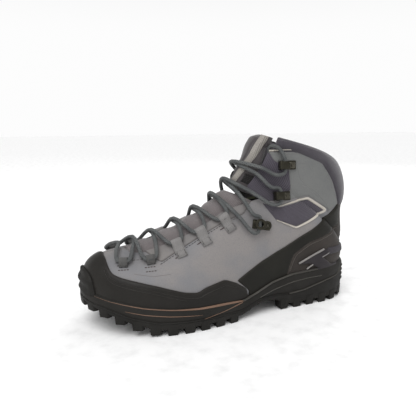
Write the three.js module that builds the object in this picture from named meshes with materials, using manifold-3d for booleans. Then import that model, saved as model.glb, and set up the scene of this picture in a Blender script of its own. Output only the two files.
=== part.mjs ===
// A left hiking boot. Millimetres, +Z up, toe to -X, lateral side to -Y. The origin is on the ground,
// at the middle of the boot's length and width.
//
// The upper is drawn as a form: a closed family of curves that run from the top line of the foot
// (toe, instep, tongue) down to the feather line, where the upper meets the sole, and, behind the
// ankle, to the back seam. A place on the form is (u, s, height): u counts the stations from toe to
// collar, s runs from -1 (lateral feather line) through 0 (top line) to 1 (medial feather line), and
// height is the distance out from the form. Every layer of the upper is a pair of such surfaces.
import * as THREE from "three";
import { mergeVertices } from "three/addons/utils/BufferGeometryUtils.js";
import Module from "manifold-3d";

const wasm = await Module();
wasm.setup();

// ---- driving dimensions ----
const SOLE_LENGTH = 300;
const BALL_WIDTH = 112;
const TONGUE_HEIGHT = 190; // ground to the top of the tongue
const GAP = 0.3; // between pieces that touch
const SEWN_THICKNESS = 0.7; // films and panels welded on the upper
const UPPER_THICKNESS = 1.5;
const STIFFENER_THICKNESS = 1.5; // toe puff, heel counter and ankle foam
const LINING_THICKNESS = 1.9;
const RAND_THICKNESS = 2;
const CAGE_THICKNESS = 2;
const COLLAR_THICKNESS = 4.1;
const TONGUE_THICKNESS = 3.7;
const TONGUE_PAD_THICKNESS = 7;
const WEBBING_THICKNESS = 1.2;
const BOARD_THICKNESS = 2.2;
const FOOTBED_THICKNESS = 5;
const SHANK_THICKNESS = 1.8;
const SHANK_WIDTH = 22;
const LUG_DEPTH = 5;
const SOLE_MARGIN = 5; // the sole stands this far outside the upper
const LACE_DIAMETER = 4.6;
const LACE_CLEARANCE = 1.2;
const HOOK_WIDTH = 8.5;
const HOOK_METAL = 1.2;
const RIVET_RADIUS = 1.4;
const TONGUE_GAP = 0.35; // in stations, between the two parts of the tongue

// ---- layers: heights over the form ----
const UPPER_IN = -UPPER_THICKNESS;
const STIFF_OUT = UPPER_IN - GAP;
const STIFF_IN = STIFF_OUT - STIFFENER_THICKNESS;
const LINING_OUT = STIFF_IN - GAP;
const LINING_IN = LINING_OUT - LINING_THICKNESS;
const SEWN_OUT = GAP + SEWN_THICKNESS;
const CAGE_IN = SEWN_OUT + GAP;
const RAND_OUT = GAP + RAND_THICKNESS;
const HOOK_BASE = SEWN_OUT + GAP;
const RING_WALL = 1;
const RING_HOLE = LACE_DIAMETER / 2 + LACE_CLEARANCE;
const RING_LIFT = GAP + RING_WALL + RING_HOLE;

// ---- the form, drawn for a sole of 300 x 112 and a tongue 190 high, and scaled to the sizes above ----
const KX = SOLE_LENGTH / 300;
const KY = BALL_WIDTH / 112;
const KZ = TONGUE_HEIGHT / 190;
const place = (x, y, z) => new THREE.Vector3(x * KX, y * KY, z * KZ);

// Sole outline, from the toe to the back of the heel: [x, y].
const LATERAL = [[-150, 8], [-147.5, -6], [-139, -22], [-122, -37], [-100, -48], [-75, -54.5],
  [-50, -56], [-20, -53], [15, -46], [50, -41], [85, -40], [115, -38], [137, -28], [147, -14], [150, 0]];
const MEDIAL = [[-150, 8], [-148, 20], [-140, 34], [-125, 46], [-105, 53], [-82, 56], [-58, 54],
  [-25, 46], [12, 37], [48, 33], [85, 35], [115, 36], [137, 28], [147, 14], [150, 0]];
// Heights along the length: [x, z].
const FEATHER = [[-150, 42], [-130, 35], [-100, 29], [-60, 24], [-20, 22], [5, 21], [20, 25], [40, 32],
  [66, 36.5], [100, 38], [150, 42]];
const TREAD_TOP = [[-150, 35], [-130, 28], [-112, 20], [-88, 13], [-35, 11], [0, 11], [8, 12.5],
  [25, 18.5], [45, 19], [60, 17], [130, 18], [150, 24]];
const TREAD_BOTTOM = [[-150, 30], [-130, 22], [-112, 14], [-88, 6], [-70, 5], [0, 5], [8, 7], [25, 14],
  [45, 13], [55, 6], [62, 5], [132, 5], [150, 12]];
// Stations of the form: the top line's x and z, the length of the crown's handle, its turn towards
// the side in degrees and its dip, and the side wall's handle at the feather line or back seam.
const STATIONS = [
  [-114, 74, 24, 0, -0.15, [-2, 0, 22]],
  [-113, 74, 24, 22, -0.15, [-2, -1, 22]],
  [-110, 75, 24, 42, -0.15, [-1, -2, 22]],
  [-104, 76, 25, 58, -0.15, [0, -3, 24]],
  [-94, 78, 26, 70, -0.15, [0, -3, 27]],
  [-80, 82, 27, 78, -0.15, [0, -3, 30]],
  [-64, 88.5, 28, 83, -0.15, [0, -3, 34]],
  [-44, 98, 29, 87, -0.15, [0, -3, 40]],
  [-26, 108.5, 30, 90, -0.12, [0, -3, 48]],
  [-11, 119, 32, 90, -0.08, [0, -4, 54]],
  [-1, 128.5, 34, 90, -0.05, [0, -5, 58]],
  [6, 137, 36, 90, 0, [2, -12, 51]],
  [10, 143.5, 38, 90, 0, [4, -22, 46]],
  [13, 149, 40, 90, 0, [4, -33, 45]],
  [16, 154, 42, 90, 0, [2, -42, 44]],
  [20, 161, 44, 90, 0, [0, -46, 20]],
  [26, 169, 45, 90, 0, [0, -46, 4]],
  [33, 179, 45, 90, 0, [-4, -46, 12]],
  [41, 190, 44, 90, -0.2, [-20, -43, 28]],
];
const BACK_SEAM = [[149, 0, 62], [147, 0, 92], [149.5, 0, 120], [146, 0, 144]];
const LAST = STATIONS.length - 1;
const HEEL = LATERAL.length - 1;

const along = (table, x) => {
  let i = 0;
  while (i < table.length - 2 && x > table[i + 1][0]) i++;
  const [[x0, z0], [x1, z1]] = [table[i], table[i + 1]];
  return z0 + ((z1 - z0) * THREE.MathUtils.clamp((x - x0) / (x1 - x0), 0, 1));
};
const heightAt = (table) => (x) => along(table, x / KX) * KZ;
const feather = heightAt(FEATHER);

// A smooth curve through rows of numbers, at row t.
function through(rows, t) {
  const n = rows.length - 1;
  const k = Math.min(Math.floor(t), n - 1);
  const f = t - k;
  const at = (i) => rows[THREE.MathUtils.clamp(i, 0, n)];
  const h = f * f * (3 - 2 * f);
  return rows[0].map((_, c) => {
    const out = (at(k + 1)[c] - at(k - 1)[c]) / (k === 0 ? 1 : 2);
    const into = (at(k + 2)[c] - at(k)[c]) / (k === n - 1 ? 1 : 2);
    return at(k)[c] * (1 - h) + at(k + 1)[c] * h
      + out * (f ** 3 - 2 * f * f + f) + into * (f ** 3 - f * f);
  });
}

// The sole outline's point at station t of one side (-1 lateral, 1 medial), moved in by inset.
function outline(t, side, inset) {
  const rows = side < 0 ? LATERAL : MEDIAL;
  const [x, y] = through(rows, t);
  const a = through(rows, Math.max(t - 0.01, 0));
  const b = through(rows, Math.min(t + 0.01, HEEL));
  const way = new THREE.Vector2(b[0] - a[0], b[1] - a[1]).normalize();
  if (t === 0) way.set(0, side);
  if (t === HEEL) way.set(0, -side);
  return new THREE.Vector2((x + way.y * side * inset) * KX, (y - way.x * side * inset) * KY);
}

// The four handles of each station's curve, in one row of numbers per station.
function net(side) {
  return STATIONS.map(([x, z, crown, fan, dip, wall], i) => {
    const turn = THREE.MathUtils.degToRad(fan);
    const y = along([[-112, 8], [-60, 5], [0, 1], [30, 0]], x);
    let end;
    if (i <= HEEL) {
      const p = outline(i, side, SOLE_MARGIN);
      end = [p.x / KX, p.y / KY, along(FEATHER, p.x / KX)];
    } else {
      end = BACK_SEAM[i - HEEL - 1];
    }
    return [x, y, z,
      x - Math.cos(turn) * crown, y + side * Math.sin(turn) * crown, z + dip * crown,
      end[0] + wall[0], end[1] - side * wall[1], end[2] + wall[2], ...end];
  });
}
const NETS = { "-1": net(-1), 1: net(1) };

function surface(u, s) {
  const row = through(NETS[s < 0 ? -1 : 1], u);
  if (u >= HEEL) row[10] = 0; // both sides meet at the back seam
  const w = Math.abs(s);
  const weights = [(1 - w) ** 3, 3 * w * (1 - w) ** 2, 3 * w * w * (1 - w), w ** 3];
  const at = (axis) => weights.reduce((sum, weight, k) => sum + weight * row[3 * k + axis], 0);
  return place(at(0), at(1), at(2));
}

// The frame of a place on the form: its point, the way along u, the way down the side, and out.
function frameAt(u, s) {
  const side = s < 0 ? -1 : 1;
  const step = 0.02;
  const point = surface(u, s);
  const up = surface(Math.min(u + step, LAST), s).sub(surface(Math.max(u - step, 0), s)).normalize();
  const down = surface(u, s + side * step).sub(surface(u, side * Math.max(Math.abs(s) - step, 0)));
  const out = new THREE.Vector3().crossVectors(up, down).multiplyScalar(side).normalize();
  down.crossVectors(up, out).multiplyScalar(-side).normalize();
  return { point, up, down, out };
}
// The same frame turned on the form, so that up follows a way [x, z] of the side view.
function turnedFrame(u, s, way) {
  const frame = frameAt(u, s);
  if (!way) return frame;
  const side = s < 0 ? -1 : 1;
  frame.up.set(way[0], 0, way[1]).projectOnPlane(frame.out).normalize();
  frame.down.crossVectors(frame.up, frame.out).multiplyScalar(-side);
  return frame;
}
const onForm = (u, s, height) => {
  const { point, out } = frameAt(u, s);
  return point.addScaledVector(out, height);
};

// ---- solids ----
function manifold(geometry) {
  const plain = geometry.index ? geometry.toNonIndexed() : geometry.clone();
  plain.deleteAttribute("normal");
  plain.deleteAttribute("uv");
  const merged = mergeVertices(plain, 1e-4);
  const index = merged.index.array;
  const faces = [];
  for (let i = 0; i < index.length; i += 3) {
    const [a, b, c] = index.slice(i, i + 3);
    if (a !== b && b !== c && c !== a) faces.push(a, b, c);
  }
  const make = (triVerts) => new wasm.Manifold(new wasm.Mesh({
    numProp: 3,
    vertProperties: merged.attributes.position.array,
    triVerts: new Uint32Array(triVerts),
  }));
  const made = make(faces);
  return made.volume() < 0 ? make(faces.reverse()) : made;
}

// A solid from triangles, each of three points.
function solid(triangles) {
  const points = triangles.flat().flatMap((p) => [p.x, p.y, p.z]);
  return manifold(new THREE.BufferGeometry()
    .setAttribute("position", new THREE.Float32BufferAttribute(points, 3)));
}
const quad = (a, b, c, d) => [[a, b, c], [a, c, d]];

// The skin between rows of points: every row has as many points as the next.
const skin = (rows) => rows.slice(1).flatMap((row, i) =>
  row.slice(1).flatMap((_, j) => quad(rows[i][j], row[j], row[j + 1], rows[i][j + 1])));

const ROWS = 18;
const COLUMNS = 7; // per side
const SKIRT = 14;
const GRID = [];
for (let i = 0; i <= ROWS; i++) {
  const u = (i / ROWS) * LAST;
  GRID.push([]);
  for (let j = -COLUMNS; j <= COLUMNS; j++) {
    GRID[i].push({ u, s: j === 0 ? 0 : j / COLUMNS, point: surface(u, (j || 1e-9) / COLUMNS) });
  }
}
const HEEL_ROW = Math.round((HEEL / LAST) * ROWS);
// The two sides share their points down the toe and down the back seam.
for (let j = 1; j <= COLUMNS; j++) GRID[0][COLUMNS + j].point = GRID[0][COLUMNS - j].point;
for (let i = HEEL_ROW; i <= ROWS; i++) GRID[i][2 * COLUMNS].point = GRID[i][0].point;

// Directions out of the form at the grid's points, each the mean over the faces that meet there.
(function addNormals() {
  const key = (p) => p.toArray().map((v) => v.toFixed(3)).join();
  const sums = new Map();
  const add = (a, b, c) => {
    const normal = new THREE.Vector3().crossVectors(b.clone().sub(a), c.clone().sub(a));
    for (const p of [a, b, c]) {
      if (!sums.has(key(p))) sums.set(key(p), new THREE.Vector3());
      sums.get(key(p)).add(normal);
    }
  };
  skin(GRID.map((row) => row.map((g) => g.point))).forEach(([a, b, c]) => add(a, b, c));
  const top = sums.get(key(GRID[Math.floor(ROWS / 2)][COLUMNS].point));
  const sign = top.z > 0 ? 1 : -1;
  for (const row of GRID) {
    for (const g of row) g.normal = sums.get(key(g.point)).clone().multiplyScalar(sign).normalize();
  }
})();

// The whole form as a solid, grown by height. A skirt lengthens it below the feather line and above
// the rim, so that it cuts an open hollow.
function body(height, skirt = 0) {
  const rows = GRID.map((row) => row.map((g) => g.point.clone().addScaledVector(g.normal, height)));
  const rim = rows[ROWS].map((p) => p.clone().setZ(p.z + skirt));
  if (skirt) rows.push(rim);
  const ends = rows.slice(0, HEEL_ROW + 1).map((row) => [row[0], row[2 * COLUMNS]]);
  const low = ends.map((pair) => pair.map((p) => p.clone().setZ(p.z - skirt)));
  const faces = skin(rows);
  for (let i = 0; i < HEEL_ROW; i++) {
    if (skirt) {
      faces.push(...quad(ends[i][0], low[i][0], low[i + 1][0], ends[i + 1][0]));
      faces.push(...quad(ends[i][1], ends[i + 1][1], low[i + 1][1], low[i][1]));
    }
    faces.push(...quad(low[i][0], low[i][1], low[i + 1][1], low[i + 1][0]));
  }
  const top = rows[rows.length - 1];
  for (let j = 0; j < COLUMNS; j++) {
    const k = 2 * COLUMNS - j;
    faces.push(...quad(top[j + 1], top[j], top[k], top[k - 1]));
  }
  return solid(faces);
}
const bodies = new Map();
function cached(height, skirt) {
  const key = height.toFixed(3) + "/" + skirt;
  if (!bodies.has(key)) bodies.set(key, body(height, skirt));
  return bodies.get(key);
}
const shell = (inner, outer) => cached(outer, 0).subtract(cached(inner, SKIRT));

// A thick piece of the form's surface between stations, and between low(u) and high(u) in s.
function patch(stations, low, high, inner, outer, { columns = 4, rise = 0 } = {}) {
  const layer = (height) => {
    const rows = stations.map((u) => Array.from({ length: columns + 1 }, (_, j) =>
      onForm(u, THREE.MathUtils.lerp(low(u), high(u), j / columns) || 1e-6, height)));
    if (rise) rows.push(rows[rows.length - 1].map((p) => p.clone().setZ(p.z + rise)));
    return rows;
  };
  const [inside, outside] = [layer(inner), layer(outer)];
  const faces = [...skin(outside), ...skin(inside).map(([a, b, c]) => [a, c, b])];
  const n = inside.length - 1;
  for (let i = 0; i < n; i++) {
    faces.push(...quad(inside[i][0], inside[i + 1][0], outside[i + 1][0], outside[i][0]));
    faces.push(...quad(outside[i][columns], outside[i + 1][columns], inside[i + 1][columns],
      inside[i][columns]));
  }
  for (let j = 0; j < columns; j++) {
    faces.push(...quad(outside[0][j], outside[0][j + 1], inside[0][j + 1], inside[0][j]));
    faces.push(...quad(inside[n][j], inside[n][j + 1], outside[n][j + 1], outside[n][j]));
  }
  return solid(faces);
}
const range = (from, to, count) =>
  Array.from({ length: count + 1 }, (_, i) => THREE.MathUtils.lerp(from, to, i / count));

// A plate that follows the sole: under top(x), over bottom(x), inside two plan curves.
function plate(lateral, medial, top, bottom) {
  const rows = lateral.map((a, i) => {
    const b = medial[i];
    const at = (p, z) => new THREE.Vector3(p.x, p.y, z(p.x));
    return [at(a, bottom), at(a, top), at(b, top), at(b, bottom), at(a, bottom)];
  });
  const faces = skin(rows);
  for (const row of [rows[0], rows[rows.length - 1]]) {
    const turned = row === rows[0] ? [0, 1, 2, 3] : [3, 2, 1, 0];
    faces.push(...quad(...turned.map((k) => row[k])));
  }
  return solid(faces);
}
const soleCurve = (side, inset) => range(0, HEEL, 2 * HEEL).map((t) => outline(t, side, inset));
const solePlate = (inset, top, bottom) => plate(soleCurve(-1, inset), soleCurve(1, inset), top, bottom);

// A side view outline, [x, z] in the form's units, cut through the boot: one side or both.
const REACH = 120;
function sideCut(points, sides = "both") {
  const shape = new THREE.Shape(points.map(([x, z]) => new THREE.Vector2(x * KX, z * KZ)));
  const depth = sides === "both" ? 2 * REACH : REACH;
  const geometry = new THREE.ExtrudeGeometry(shape, { depth, bevelEnabled: false });
  geometry.rotateX(Math.PI / 2);
  if (sides !== -1) geometry.translate(0, REACH, 0);
  return manifold(geometry);
}

// A flat outline drawn in a place's own plane, x down the side and y out, pushed through along u.
function profile(shape, frame, length) {
  const geometry = new THREE.ExtrudeGeometry(shape, { depth: length, bevelEnabled: false, curveSegments: 5 });
  geometry.translate(0, 0, -length / 2);
  const across = new THREE.Vector3().crossVectors(frame.down, frame.out);
  geometry.applyMatrix4(new THREE.Matrix4().makeBasis(frame.down, frame.out, across)
    .setPosition(frame.point));
  return manifold(geometry);
}
const circle = (x, y, radius) => new THREE.Path().absarc(x, y, radius, 0, 2 * Math.PI);
function disc(frame, x, from, to, radius) {
  const geometry = new THREE.CylinderGeometry(radius, radius, to - from, 8);
  geometry.translate(x, (from + to) / 2, 0);
  const across = new THREE.Vector3().crossVectors(frame.down, frame.out);
  geometry.applyMatrix4(new THREE.Matrix4().makeBasis(frame.down, frame.out, across)
    .setPosition(frame.point));
  return manifold(geometry);
}

// ---- the assembly ----
const boot = new THREE.Group();
boot.name = "hiking_boot";
function add(name, made, color, roughness, metalness = 0) {
  const { numProp, vertProperties, triVerts } = made.getMesh();
  const geometry = new THREE.BufferGeometry();
  const points = new Float32Array((vertProperties.length / numProp) * 3);
  for (let i = 0; i * numProp < vertProperties.length; i++) {
    points.set(vertProperties.subarray(i * numProp, i * numProp + 3), i * 3);
  }
  geometry.setAttribute("position", new THREE.BufferAttribute(points, 3));
  geometry.setIndex(new THREE.BufferAttribute(triVerts, 1));
  geometry.computeVertexNormals();
  const mesh = new THREE.Mesh(geometry, new THREE.MeshStandardMaterial({ color, roughness, metalness }));
  mesh.name = name;
  boot.add(mesh);
}
const SIDES = [["lateral", -1], ["medial", 1]];

const RUBBER = 0x34332f;
const SOLE_FOAM = 0x45433f;
const VAMP = 0x8f8b8a;
const DARK = 0x2f2e2b;
const HEEL_CLOTH = 0x4a4541;
const COLLAR = 0x6d6870;
const FILM = 0x7f817f;
const TRIM = 0xb9b3a8;
const METAL = 0x4b463c;
const LACE = 0x77777a;
const WEBBING = 0x8c8682;
const STRIP = 0xc9c4ba;

// The throat: the opening of the upper over the instep, half its width in s at each station.
const THROAT = [[3.2, 0.06], [3.7, 0.2], [4.6, 0.25], [7, 0.26], [8.5, 0.25], [9.6, 0.31], [11, 0.35],
  [12, 0.33], [14, 0.27], [16, 0.26], [18, 0.24]];
const TONGUE_UNDER = 0.05; // how far the tongue runs on under the throat's edge, in s
const LINING_CLEAR = 0.09;
const throatStations = [3.2, 3.7, 4.6, 5.8, 7, 8.5, 9.6, 11, 12, 13, 14, 15, 16, 17, 18];
const throatAt = (extra) => (u) => along(THROAT, u) + extra;
const opening = (extra) => patch(throatStations, (u) => -throatAt(extra)(u), throatAt(extra), -13, 12,
  { columns: 6, rise: 30 });
const throat = opening(0);
const liningThroat = opening(LINING_CLEAR);

// Sole.
const LUG_ROWS = [
  // [x, lateral y, medial y]: centres of the outer lugs of each row
  [-131, -20, 32], [-112, -34, 41], [-92, -42, 46], [-71, -46, 47], [-50, -47, 44], [-29, -45, 38],
  [-8, -41, 33], [67, -32, 25], [88, -31, 26], [109, -29, 27], [129, -22, 20],
];
const LUG_SIZE = [13, 15];
const LUG_NECK = 2; // a lug's root inside the tread
const treadTop = heightAt(TREAD_TOP);
const treadBottom = heightAt(TREAD_BOTTOM);
function lug(x, y, length, width, skew) {
  const z = treadBottom(x * KX);
  const shape = new THREE.Shape([[-1, -1], [0.6, -1], [1, -0.4], [1, 1], [-0.6, 1], [-1, 0.4]]
    .map(([a, b]) => new THREE.Vector2(a * length / 2 + skew * b, b * width / 2)));
  const geometry = new THREE.ExtrudeGeometry(shape, { depth: LUG_DEPTH + LUG_NECK, bevelEnabled: false });
  geometry.translate(x * KX, y * KY, z - LUG_DEPTH);
  return manifold(geometry);
}
const BUMPER_TOP = 60;
const BUMPER_THICKNESS = 3.9;
const BUMPER_OUT = RAND_OUT + GAP + BUMPER_THICKNESS;
const bumperCut = sideCut([[-170, 25], [-139, 25], [-141, BUMPER_TOP - 8], [-143, BUMPER_TOP],
  [-170, BUMPER_TOP]]);
const bumper = cached(BUMPER_OUT, SKIRT).subtract(cached(RAND_OUT + GAP, 2 * SKIRT)).intersect(bumperCut);
let outsole = solePlate(0, treadTop, treadBottom).add(bumper);
for (const [x, lateral, medial] of LUG_ROWS) {
  const [length, width] = LUG_SIZE;
  outsole = outsole.add(lug(x, lateral, length, width, 2)).add(lug(x, medial, length, width, -2));
  const middle = (lateral + medial) / 2;
  const between = medial - lateral - width;
  if (between > width) outsole = outsole.add(lug(x - length / 2, middle, length * 0.7, width * 0.8, 0));
}
add("outsole", outsole, RUBBER, 0.8);

const bumperRoom = cached(BUMPER_OUT + GAP, SKIRT).subtract(cached(RAND_OUT, 2 * SKIRT))
  .intersect(sideCut([[-170, 20], [-136, 20], [-138, BUMPER_TOP + 5], [-170, BUMPER_TOP + 5]]));
const shankCurve = (side) => [-45, -30, -10, 10, 30, 50, 65, 75]
  .map((x) => new THREE.Vector2(x * KX, (side * SHANK_WIDTH) / 2 - 2));
const shank = (grow) => {
  const lateral = shankCurve(-1).map((p) => p.clone().setY(p.y - grow));
  const medial = shankCurve(1).map((p) => p.clone().setY(p.y + grow));
  lateral[0].x -= grow;
  medial[0].x -= grow;
  lateral[lateral.length - 1].x += grow;
  medial[medial.length - 1].x += grow;
  return plate(lateral, medial, (x) => feather(x) - GAP + 4 * grow,
    (x) => feather(x) - GAP - SHANK_THICKNESS - grow);
};
add("shank", shank(0), 0x2b2b2b, 0.5);
const midsole = solePlate(1, (x) => feather(x) - GAP, () => 0)
  .subtract(solePlate(0, (x) => treadTop(x) + GAP, () => -10))
  .subtract(cached(CAGE_IN + CAGE_THICKNESS + GAP, 2 * GAP)).subtract(shank(GAP)).subtract(bumperRoom);
add("midsole", midsole, SOLE_FOAM, 0.75);

const floorLayer = (from, to) => solePlate(-4, (x) => feather(x) + to, (x) => feather(x) + from);
const boardTop = GAP + BOARD_THICKNESS;
add("lasting_board", cached(STIFF_OUT, 0).intersect(floorLayer(GAP, boardTop)), 0xa09a8c, 0.9);
const footbedBottom = boardTop + GAP;
add("footbed", cached(LINING_IN - GAP, 0).intersect(floorLayer(footbedBottom,
  footbedBottom + FOOTBED_THICKNESS)), 0x4d5157, 0.9);
const underFloor = floorLayer(-40, footbedBottom);

// Upper: textile shell, lining and what stands between them.
const collarLine = [[30, 171], [93, 171.5], [107, 154], [120, 137], [129, 120], [133, 107], [170, 101]];
const collarRoom = sideCut([...collarLine, [170, 260], [30, 260]]);
const collarBelow = sideCut([...collarLine.map(([x, z]) => [x, z + GAP]), [170, 260], [30, 260]]);
add("upper", shell(UPPER_IN, 0).subtract(throat).subtract(collarRoom), VAMP, 0.8);
add("collar_pad", shell(UPPER_IN, UPPER_IN + COLLAR_THICKNESS).intersect(collarBelow).subtract(throat),
  COLLAR, 0.95);
add("lining", shell(LINING_IN, LINING_OUT).subtract(underFloor).subtract(liningThroat), 0x3c3d40, 0.95);
const stiffener = shell(STIFF_IN, STIFF_OUT).subtract(underFloor).subtract(liningThroat);
add("toe_puff", stiffener.intersect(sideCut([[-170, 0], [-108, 0], [-114, 100], [-170, 100]])),
  0xb5ad9c, 0.7);
add("heel_counter", stiffener.intersect(sideCut([[78, 0], [170, 0], [170, 84], [120, 82], [90, 62]])),
  0xb5ad9c, 0.7);
const foamOutline = [[30, 92], [88, 92], [120, 90], [170, 90], [170, 220], [30, 220]];
add("ankle_foam", stiffener.intersect(sideCut(foamOutline)), 0x9a9a70, 0.95);

// Panels welded and sewn on the upper.
const rand = shell(GAP, RAND_OUT).intersect(sideCut([[-170, 0], [-170, 110], [-127, 110], [-126, 64],
  [-124, 58], [-117, 56], [-87, 48], [-61, 39.5], [-48, 37.5], [-40, 41], [-18, 45.3], [-5, 40], [6, 31],
  [11, 0]]));
add("rand", rand, DARK, 0.7);
const bandTop = [[133, 106], [104.5, 92], [58, 69], [26.6, 56], [-1, 42]];
const bandBottom = [[9, 30], [13, 0], [57, 0], [59, 39], [67, 59], [87, 71], [160, 90]];
const heelOutline = [[59, 0], [60, 39], [68, 58.5], [87.5, 70.2], [160, 88.5], [170, 0]];
const insertOutline = [[34, 116], [51, 110.5], [85, 117], [108, 103.5], [70, 90], [49, 99.5]];
const trimOutline = [[47, 113.4], [85, 120.6], [113.5, 103.6], [70, 86.6], [46, 97], [47.6, 98.9],
  [70, 89.2], [109, 103.6], [85, 117.8], [49.8, 111.5]];
const filmOutline = [[44, 167.5], [92, 168], [104, 153], [117, 136], [126, 119], [130, 108], [112.5, 100.5],
  [115, 103.6], [85.2, 122], [46, 114.8], [42, 122]];
const sewn = shell(GAP, SEWN_OUT).subtract(throat);
for (const [name, side] of SIDES) {
  add("side_band_" + name, sewn.intersect(sideCut([...bandTop, ...bandBottom, [160, 106]], side))
    .intersect(sideCut([[-20, 0], [132, 0], [132, 110], [-20, 110]], side)), DARK, 0.75);
  add("ankle_insert_" + name, sewn.intersect(sideCut(insertOutline, side)), COLLAR, 0.95);
  add("ankle_trim_" + name, sewn.intersect(sideCut(trimOutline, side)), TRIM, 0.6);
  add("ankle_panel_" + name, sewn.intersect(sideCut(filmOutline, side)), FILM, 0.6);
}
add("heel_panel", shell(GAP, SEWN_OUT).intersect(sideCut(heelOutline)), HEEL_CLOTH, 0.9);
const cageOutline = [[70, 50], [104, 62], [112, 60], [112, 54.5], [106, 55], [118, 43], [170, 41], [170, 30],
  [62, 30], [62, 38], [100, 40], [92, 44]];
add("heel_cage", shell(CAGE_IN, CAGE_IN + CAGE_THICKNESS).intersect(sideCut(cageOutline)), SOLE_FOAM, 0.5);
add("heel_strap", shell(CAGE_IN, CAGE_IN + WEBBING_THICKNESS)
  .intersect(sideCut([[112.5, 54.5], [170, 53.5], [170, 61.5], [112.5, 62]])), COLLAR, 0.8);

// Tongue: a gusseted lower part, a padded upper part that the ankle pushes back, and its strip.
const TONGUE_BEND = 10.7; // station where the two parts meet
const TONGUE_WIDTH = [[3, 0.1], [4, 0.26], [7, 0.3], [8.5, 0.3], [10.7, 0.36], [12, 0.33], [13.5, 0.24],
  [15, 0.175], [18, 0.13]];
const tongueHalf = (u) => along(TONGUE_WIDTH, u);
const TONGUE_OUT = STIFF_OUT;
const tonguePart = (stations, thickness) => patch(stations, (u) => -tongueHalf(u), tongueHalf,
  TONGUE_OUT - thickness, TONGUE_OUT + 3, { columns: 6 }).intersect(cached(TONGUE_OUT, 0));
add("tongue_lower", tonguePart(range(3.4, TONGUE_BEND - TONGUE_GAP, 9), TONGUE_THICKNESS), VAMP, 0.9);
add("tongue_upper", tonguePart(range(TONGUE_BEND, LAST, 9), TONGUE_PAD_THICKNESS), HEEL_CLOTH, 0.9);
const STRIP_HALF = 0.036;
const stripCentre = (u) => along([[11, -0.045], [14, -0.075], [17.5, -0.115]], u);
const strip = patch(range(11.2, 17.9, 6), (u) => stripCentre(u) - STRIP_HALF,
  (u) => stripCentre(u) + STRIP_HALF, -8, 8, { columns: 1 });
add("tongue_strip", shell(TONGUE_OUT + GAP, TONGUE_OUT + SEWN_OUT).intersect(strip), STRIP, 0.8);

// Lace guides from the toe up: a place on the form, and where the lace comes in and goes out.
const HOOK_ROOM = LACE_DIAMETER + 1.6;
const HOOK_HEIGHT = HOOK_BASE + HOOK_METAL + HOOK_ROOM / 2;
const LOOP_WIDTH = 6;
const LOOP_REACH = LOOP_WIDTH / 2 + 2; // the lace runs straight this far past the middle of a guide
const HOOK_REACH = HOOK_WIDTH / 2 + LACE_DIAMETER / 2 + 0.7;
const GUIDES = [
  { name: "toe_loop", u: 3.25, s: 0.41, reach: LOOP_REACH, height: RING_LIFT },
  { name: "vamp_loop", u: 4.65, s: 0.41, reach: LOOP_REACH, height: RING_LIFT },
  { name: "webbing_loop_1", u: 6.15, s: 0.31, reach: LOOP_REACH, height: RING_LIFT },
  { name: "webbing_loop_2", u: 7.25, s: 0.3, reach: LOOP_REACH, height: RING_LIFT },
  { name: "webbing_loop_3", u: 8.4, s: 0.31, reach: LOOP_REACH, height: RING_LIFT },
  { name: "ankle_lock", u: 9.15, s: 0.53, reach: HOOK_REACH, height: RING_LIFT,
    way: [0.2, 1], before: [[9.05, 0.2], [8.85, 0.38], [8.75, 0.57]], after: [[9.35, 0.44], [9.95, 0.26]] },
  { name: "lower_hook", u: 11.95, s: 0.38, reach: HOOK_REACH, height: HOOK_HEIGHT,
    way: [0, 1], before: [[10.9, 0.14], [10.75, 0.28], [10.65, 0.42]], after: [[12.7, 0.31], [13.9, 0.21]] },
  { name: "upper_hook", u: 16.25, s: 0.32, reach: HOOK_REACH, height: HOOK_HEIGHT,
    way: [0, 1], before: [[15, 0.21], [15.2, 0.3]], after: [] },
];
const CROSSINGS = [2.45, 4.05, 5.4, 6.7, 7.85, 9.15, 10.9, 14.2]; // stations on the top line
// Heights of the lace's middle: under its other strand, on its own, and over the other strand.
const UNDER = LACE_DIAMETER / 2 + 1.75;
const STRAND = LACE_DIAMETER / 2 + 3.1;
const OVER = UNDER + LACE_DIAMETER + 0.6;
// The end of the lace: over the collar's front edge and down inside the shaft, [u, s, height].
const LACE_REST = LACE_DIAMETER / 2 + 0.1; // from a surface to the middle of a lace that lies on it
const TUCK_IN = UPPER_IN - LACE_REST;
const TUCKED = [[17.1, 0.25, UPPER_IN + COLLAR_THICKNESS + LACE_REST], [16.95, 0.192, TUCK_IN],
  [16, 0.255, TUCK_IN - 0.8], [15, 0.29, TUCK_IN - 1], [14, 0.32, TUCK_IN - 1]];

// One half of the lace, from the middle of the first crossing. It changes sides at each crossing.
function laceHalf(start) {
  const points = [];
  let side = start;
  GUIDES.forEach((guide, k) => {
    const over = k > 0 && (k % 2 ? start : -start) > 0;
    const nextOver = (k % 2 ? -start : start) > 0;
    const frame = turnedFrame(guide.u, side * guide.s, guide.way);
    const straight = (turn) => frame.point.clone().addScaledVector(frame.up, turn * guide.reach)
      .addScaledVector(frame.out, guide.height);
    const between = (crossing, turn) => onForm(
      THREE.MathUtils.lerp(crossing, guide.u + 0.4 * turn, 0.45), side * guide.s * 0.55, UNDER + 1.2);
    const strand = (way) => way.map(([u, s]) => onForm(u, side * s, STRAND));
    points.push(onForm(CROSSINGS[k], side * 1e-6, k === 0 ? UNDER + 1.5 : over ? OVER : UNDER));
    if (guide.before) points.push(...strand(guide.before));
    else if (!over) points.push(between(CROSSINGS[k], -1));
    points.push(straight(-1), straight(1));
    if (guide.after) points.push(...strand(guide.after));
    else if (!nextOver) points.push(between(CROSSINGS[k + 1], 1));
    side = -side;
  });
  side = -side;
  TUCKED.forEach(([u, s, height]) => points.push(onForm(u, side * s, height)));
  return points;
}
const lacePoints = [...laceHalf(-1).reverse().slice(0, -1), ...laceHalf(1)];

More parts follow.
